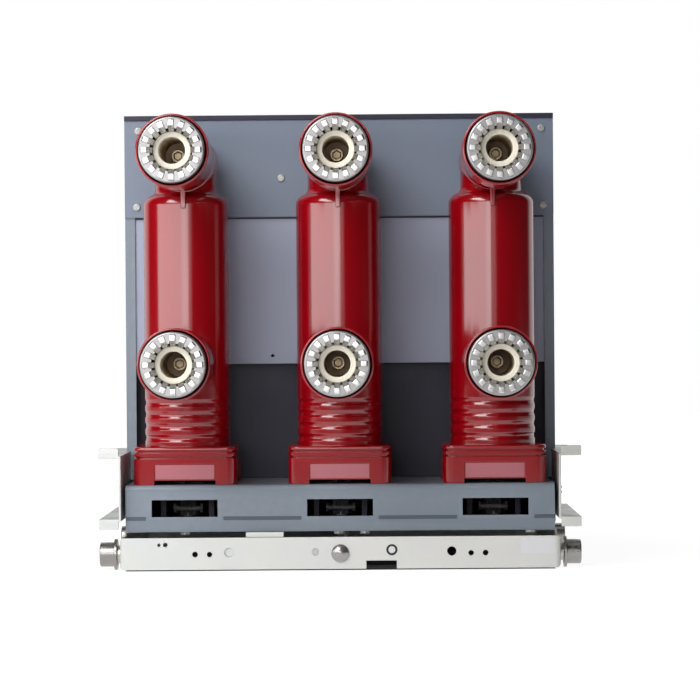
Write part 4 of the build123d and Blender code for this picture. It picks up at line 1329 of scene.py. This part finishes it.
@dataclass
class Fasteners:
    """Screws, bolts, plugs, thread and the blank sticker, all too small for the solids."""

    plate_face: float = 0.042
    plate_places: tuple[Point2, ...] = (
        (-0.2815, 0.605), (-0.284, 0.498), (0.284, 0.605), (0.286, 0.497), (-0.081, 0.5375)
    )
    cover_face: float = 0.289
    cover_places: tuple[Point2, ...] = (
        (-0.285, 0.095), (-0.285, 0.340), (-0.285, 0.605), (0.285, 0.095), (0.285, 0.340), (0.285, 0.605)
    )
    head: float = 0.0052
    head_height: float = 0.0026
    head_crown: float = 0.0003
    head_dome_share: float = 0.6
    slot_width: float = 0.0013
    slot_reach: float = 0.0031
    slot_depth: float = 0.0012
    sunk: float = 0.0004
    rivet: float = 0.0022
    rivet_height: float = 0.0016
    rivet_sunk: float = 0.0003
    rivet_places: tuple[Point3, ...] = ((0.298, -0.119, 0.1098), (0.298, -0.119, 0.1031))
    under_base: float = 0.052
    under_places: tuple[float, ...] = (-0.210, -0.002, 0.0335, 0.257)
    under_y: float = -0.100
    bolt: float = 0.0075
    bolt_height: float = 0.0045
    hexagon_round: float = 0.0006
    inserts: tuple[PlateInsert, ...] = (
        PlateInsert("plate_plug", -0.0335, 0.0251, -0.1264, 0.0046, 0.0060, Paint.GREY_PLUG),
        PlateInsert("ring_backing", 0.0695, 0.0273, -0.1244, 0.0074, 0.0095, Paint.BLACK),
        PlateInsert("ring_centre", 0.0695, 0.0273, -0.1266, 0.0046, 0.0050, Paint.STICKER),
        PlateInsert("lit_hole_insert", -0.150, 0.0251, -0.1243, 0.0060, 0.0080, Paint.ZINC),
    )
    pin_height: float = 0.080
    pin_y: float = -0.0436
    pin: float = 0.0032
    pin_half: float = 0.0175
    pin_thread: float = 0.0007
    pin_turns: int = 18
    nut_ends: tuple[Point2, ...] = ((0.0688, 0.0741), (0.0934, 0.0986))
    nut: float = 0.0078
    sticker_low: Point3 = (0.243, -0.1273, 0.021)
    sticker_high: Point3 = (0.289, -0.1270, 0.042)
    sticker_corner: float = 0.0018

    def pan_head(self, name: str, place: Vector, out: Vector) -> Piece:
        """Pan-head screw with a cross recess.

        Args:
            name: Name of the piece.
            place: Middle of its seat.
            out: Direction in which the head stands out.

        Returns:
            The screw head.
        """
        side = Vector(ALONG_Z)
        cross = side.cross(out)
        edge = self.head_height * self.head_dome_share
        profile = [(0.0, -self.sunk), (self.head, -self.sunk)]
        profile += arc((self.head - edge, self.head_height - edge), edge, 0, 90, 5)
        profile.append((0.0, self.head_height + self.head_crown))
        made = Bench.turned(name, profile, place, out, side, 28)
        middle = place + out * (self.head_height + self.slot_depth)
        reaches = (self.slot_reach, self.slot_width / 2, self.slot_depth * 2)
        for axes in ((side, cross, out), (cross, side, out)):
            spread = Vector([sum(abs(a) * reach for a, reach in zip(row, reaches)) for row in zip(*axes)])
            Bench.merge(made, Bench.block("recess", middle - spread, middle + spread), "DIFFERENCE")
        return made

    def screws(self) -> None:
        """Pan-head screws of the upper plate and the front cover."""
        for name, out, face, ends in (
            ("upper_plate_screws", -1, self.plate_face, self.plate_places),
            ("front_cover_screws", 1, self.cover_face, self.cover_places),
        ):
            places = [Vector((x, face, z)) for x, z in ends]
            head = self.pan_head(name, places[0], Vector((0, out, 0)))
            Bench.dress(Bench.row(head, places, name), Paint.BRIGHT_SCREW)

    def rivets(self) -> None:
        """Two small rivets on the right guide bracket."""
        places = [Vector(place) for place in self.rivet_places]
        profile = [(0.0, -self.rivet_sunk), (self.rivet, -self.rivet_sunk)]
        profile += arc((0.0, 0.0), self.rivet_height, 30, 90, 5)
        head = Bench.turned("bracket_rivets", profile, places[0], ALONG_X, ALONG_Z, 20)
        Bench.dress(Bench.row(head, places, "bracket_rivets"), Paint.CAP, smooth=50)

    def hexagon(self, name: str, start: Place, end: Place, corner: float) -> Piece:
        """Hexagon bar with softened edges.

        Args:
            name: Name of the piece.
            start: Centre of one end.
            end: Centre of the other end.
            corner: Radius of its corners.

        Returns:
            The bar.
        """
        made = Bench.rod(name, start, end, corner, 6)
        Bench.round_edges(made, self.hexagon_round)
        return made

    def slit_bolts(self) -> None:
        """Hexagon bolt heads under the base floor, seen in the slit above the truck plate."""
        places = [Vector((x, self.under_y, self.under_base)) for x in self.under_places]
        up = Vector(ALONG_Z)
        head = self.hexagon("bolt", places[0] + up * self.sunk, places[0] - up * self.bolt_height, self.bolt)
        Bench.dress(Bench.row(head, places, "slit_bolts"), Paint.BOLT)

    def window_thread(self) -> None:
        """Threaded cross pins and stud nuts seen through the base windows."""
        step = self.pin_half * 2 / self.pin_turns
        root = self.pin - self.pin_thread
        profile: list[Point2] = [(0.0, -self.pin_half)]
        for turn in range(self.pin_turns):
            start = -self.pin_half + turn * step
            profile += [(root, start), (self.pin, start + step / 2)]
        profile += [(root, self.pin_half), (0.0, self.pin_half)]
        places = [Vector((x, self.pin_y, self.pin_height)) for x in PHASES.values()]
        pin = Bench.turned("cross_pin_thread", profile, places[0], ALONG_X, ALONG_Z, 24)
        # Painted shade: the thread gets the darker steel for the shade inside the windows.
        Bench.dress(Bench.row(pin, places, "cross_pin_thread"), Paint.DIM_STEEL, smooth=20)
        places = [Vector((x, POLE_Y, 0)) for x in PHASES.values()]
        up = Vector(ALONG_Z)
        foot = places[0]
        nuts = [self.hexagon("nut", foot + up * a, foot + up * b, self.nut) for a, b in self.nut_ends]
        pair = Bench.join(nuts, "stud_nuts")
        Bench.dress(Bench.row(pair, places, "stud_nuts"), Paint.BRIGHT_SCREW)

    def sticker(self) -> None:
        """Blank sticker on the truck plate, its corners rounded."""
        made = Bench.block("blank_sticker", self.sticker_low, self.sticker_high)
        Bench.bevel_where(made, lambda a, b: abs(a.y - b.y) > NEAR, self.sticker_corner, 4)
        Bench.dress(made, Paint.STICKER)

    def build(self) -> None:
        """Make every small fastener and insert."""
        self.screws()
        self.rivets()
        self.slit_bolts()
        for insert in self.inserts:
            insert.build()
        self.window_thread()
        self.sticker()


@dataclass(frozen=True)
class SoftBox:
    """One soft studio lamp: its middle, the point it faces, its size and its watts."""

    name: str
    place: Point3
    aim: Point3
    size: Point2
    watts: float
    mirrored: bool = True

    def build(self) -> None:
        """Add the lamp, unseen by the camera and, unless mirrored, by glossy surfaces."""
        data = bpy.data.lights.new(self.name, "AREA")
        data.shape = "RECTANGLE"
        data.size, data.size_y = self.size
        data.energy = self.watts
        made = bpy.data.objects.new(self.name, data)
        line = Vector(self.aim) - Vector(self.place)
        turn = line.to_track_quat("-Z", "Y").to_matrix()
        made.matrix_world = Matrix.Translation(self.place) @ turn.to_4x4()
        made.visible_camera = False
        made.visible_glossy = self.mirrored
        bpy.context.scene.collection.objects.link(made)


@dataclass
class Studio:
    """Floor, lights, background and the camera at the photograph's angle."""

    camera_place: Point3 = (0.0455, -3.9263, 0.3196)
    yaw: float = -0.457
    pitch: float = -0.350
    roll: float = -0.442
    focal_pixels: float = 2825.7
    image_pixels: float = 700.0
    sensor: float = 36.0
    clip_end: float = 50.0
    world_light: float = 0.08
    room: float = 0.02
    backdrop_range: Point2 = (0.42, 0.62)
    floor_size: float = 14.0
    floor_colour: Colour = (0.85, 0.85, 0.85)
    shade_colour: Colour = (0.2, 0.2, 0.2)
    glow_range: Point2 = (0.45, 1.2)
    glow_near: float = 0.90
    under_half_width: float = 0.29
    under_rear: float = -0.121
    under_front: float = 0.285
    dim: float = 0.05
    dim_range: Point2 = (-2.0, -1.0)
    lamps: tuple[SoftBox, ...] = (
        SoftBox("key_left", (-0.934, -1.21, 0.46), (0, -0.033, 0.46), (2.65, 0.44), 13.2),
        SoftBox("top_front", (-0.95, -1.5, 1.6), (0, -0.1, 0.35), (1.5, 1.1), 38.0),
        SoftBox("front_fill", (0.05, -3.5, 0.80), (0.05, 0, 0.80), (1.6, 1.12), 5.4),
        SoftBox("top", (0, -0.6, 2.2), (0, -0.1, 0.3), (2.0, 1.2), 5.0),
        SoftBox("back_right", (1.6, 2.8, 1.0), (0, 0.1, 0.35), (1.6, 1.2), 45.0, mirrored=False),
    )

    def camera(self) -> None:
        """Place the camera and make it the scene's own."""
        yaw, pitch, roll = (math.radians(v) for v in (self.yaw, self.pitch, self.roll))
        ahead = Vector((math.sin(yaw) * math.cos(pitch), math.cos(yaw) * math.cos(pitch), math.sin(pitch)))
        right = Vector((math.cos(yaw), -math.sin(yaw), 0))
        up = right.cross(ahead)
        turned_right = right * math.cos(roll) + up * math.sin(roll)
        turned_up = up * math.cos(roll) - right * math.sin(roll)
        data = bpy.data.cameras.new("camera")
        data.sensor_width = self.sensor
        data.lens = self.focal_pixels / self.image_pixels * self.sensor
        data.clip_end = self.clip_end
        made = bpy.data.objects.new("camera", data)
        turn = Matrix((turned_right, turned_up, -ahead)).transposed()
        made.matrix_world = Matrix.Translation(self.camera_place) @ turn.to_4x4()
        bpy.context.scene.collection.objects.link(made)
        bpy.context.scene.camera = made

    @staticmethod
    def _seen(tree: Tree, *names: str) -> Socket:
        """Socket that is one for the named kinds of rays.

        Args:
            tree: Node tree of the floor or the world.
            *names: Outputs of the light path.

        Returns:
            The socket.
        """
        path = tree.nodes.new("ShaderNodeLightPath")
        found = path.outputs[names[0]]
        for name in names[1:]:
            found = Nodes.combine(tree, "MAXIMUM", found, path.outputs[name])
        return found

    def _glow(self, tree: Tree) -> Socket:
        """Strength of the floor's white: none under the truck, which paints a shadow on the floor there, less
        near it so that real shadows show, and less far in front of it.

        Args:
            tree: Node tree of the floor.

        Returns:
            The socket with the strength.
        """
        x, y = Nodes.along(tree, "X"), Nodes.along(tree, "Y")
        # Painted shadow: the truck's footprint gets no white glow, so the floor under it reads dark.
        width = Nodes.combine(tree, "ABSOLUTE", x, 0.0)
        under = Nodes.combine(tree, "LESS_THAN", width, self.under_half_width)
        for way, limit in (("GREATER_THAN", self.under_rear), ("LESS_THAN", self.under_front)):
            under = Nodes.combine(tree, "MULTIPLY", under, Nodes.combine(tree, way, y, limit))
        place = tree.nodes.new("ShaderNodeTexCoord")
        far = tree.nodes.new("ShaderNodeVectorMath")
        far.operation = "LENGTH"
        tree.links.new(place.outputs["Object"], far.inputs[0])
        fade = Nodes.span(tree, far.outputs["Value"], *self.glow_range, self.glow_near, 1.0)
        dimmed = Nodes.span(tree, y, *self.dim_range, self.dim, 1.0)
        lit = Nodes.combine(tree, "MAXIMUM", dimmed, self._seen(tree, "Is Camera Ray", "Is Transmission Ray"))
        clear = Nodes.combine(tree, "MULTIPLY", Nodes.combine(tree, "SUBTRACT", 1.0, under), lit)
        return Nodes.combine(tree, "MULTIPLY", fade, clear)

    def floor(self) -> None:
        """Pale floor that reads white in the picture, keeps the real shadow round the truck and has a painted
        shadow under it.
        """
        Bench.clear()
        bpy.ops.mesh.primitive_plane_add(size=self.floor_size, location=(0, 0, 0))
        made = bpy.context.active_object
        made.name = "studio_floor"
        paint = bpy.data.materials.new("studio_floor")
        paint.use_nodes = True
        tree = paint.node_tree
        tree.nodes.clear()
        out, matt, shade, glow, both, mix = (
            tree.nodes.new(f"ShaderNode{kind}")
            for kind in ("OutputMaterial", "BsdfDiffuse", "BsdfDiffuse", "Emission", "AddShader", "MixShader")
        )
        Nodes.feed(tree, matt.inputs["Color"], self.floor_colour)
        Nodes.feed(tree, shade.inputs["Color"], self.shade_colour)
        seen = self._seen(tree, "Is Camera Ray", "Is Glossy Ray", "Is Transmission Ray")
        for source, target in (
            (self._glow(tree), glow.inputs["Strength"]),
            (glow.outputs[0], both.inputs[0]),
            (shade.outputs[0], both.inputs[1]),
            (seen, mix.inputs[0]),
            (matt.outputs[0], mix.inputs[1]),
            (both.outputs[0], mix.inputs[2]),
            (mix.outputs[0], out.inputs[0]),
        ):
            tree.links.new(source, target)
        made.data.materials.append(paint)

    def world(self) -> None:
        """White backdrop behind the object, a dim room in front of it and a soft grey light all round."""
        world = bpy.data.worlds.new("studio")
        bpy.context.scene.world = world
        world.use_nodes = True
        tree = world.node_tree
        back = tree.nodes["Background"]
        Nodes.feed(tree, back.inputs["Color"], (1.0, 1.0, 1.0))
        shown = Nodes.span(tree, Nodes.along(tree, "Y", "Generated"), *self.backdrop_range, self.room, 1.0)
        gloss = self._seen(tree, "Is Glossy Ray")
        dull = Nodes.combine(tree, "MULTIPLY", Nodes.combine(tree, "SUBTRACT", 1.0, gloss), self.world_light)
        glossy = Nodes.combine(tree, "MULTIPLY", shown, gloss)
        plain = self._seen(tree, "Is Camera Ray", "Is Transmission Ray")
        direct = Nodes.combine(tree, "MAXIMUM", glossy, plain)
        tree.links.new(Nodes.combine(tree, "MAXIMUM", direct, dull), back.inputs["Strength"])

    def build(self) -> None:
        """Set up the whole studio."""
        bpy.context.scene.view_settings.view_transform = "Standard"
        self.camera()
        self.floor()
        self.world()
        for lamp in self.lamps:
            lamp.build()


def main() -> None:
    """Build every sub-assembly in order, then the studio."""
    for assembly in (
        ContactSleeve(), ResinPole(), FingerContacts(), SheetWork(), SmallParts(), TruckWheels(), Fasteners()
    ):
        log.info("building %s", type(assembly).__name__)
        assembly.build()
    Studio().build()


if __name__ == "__main__":
    main()
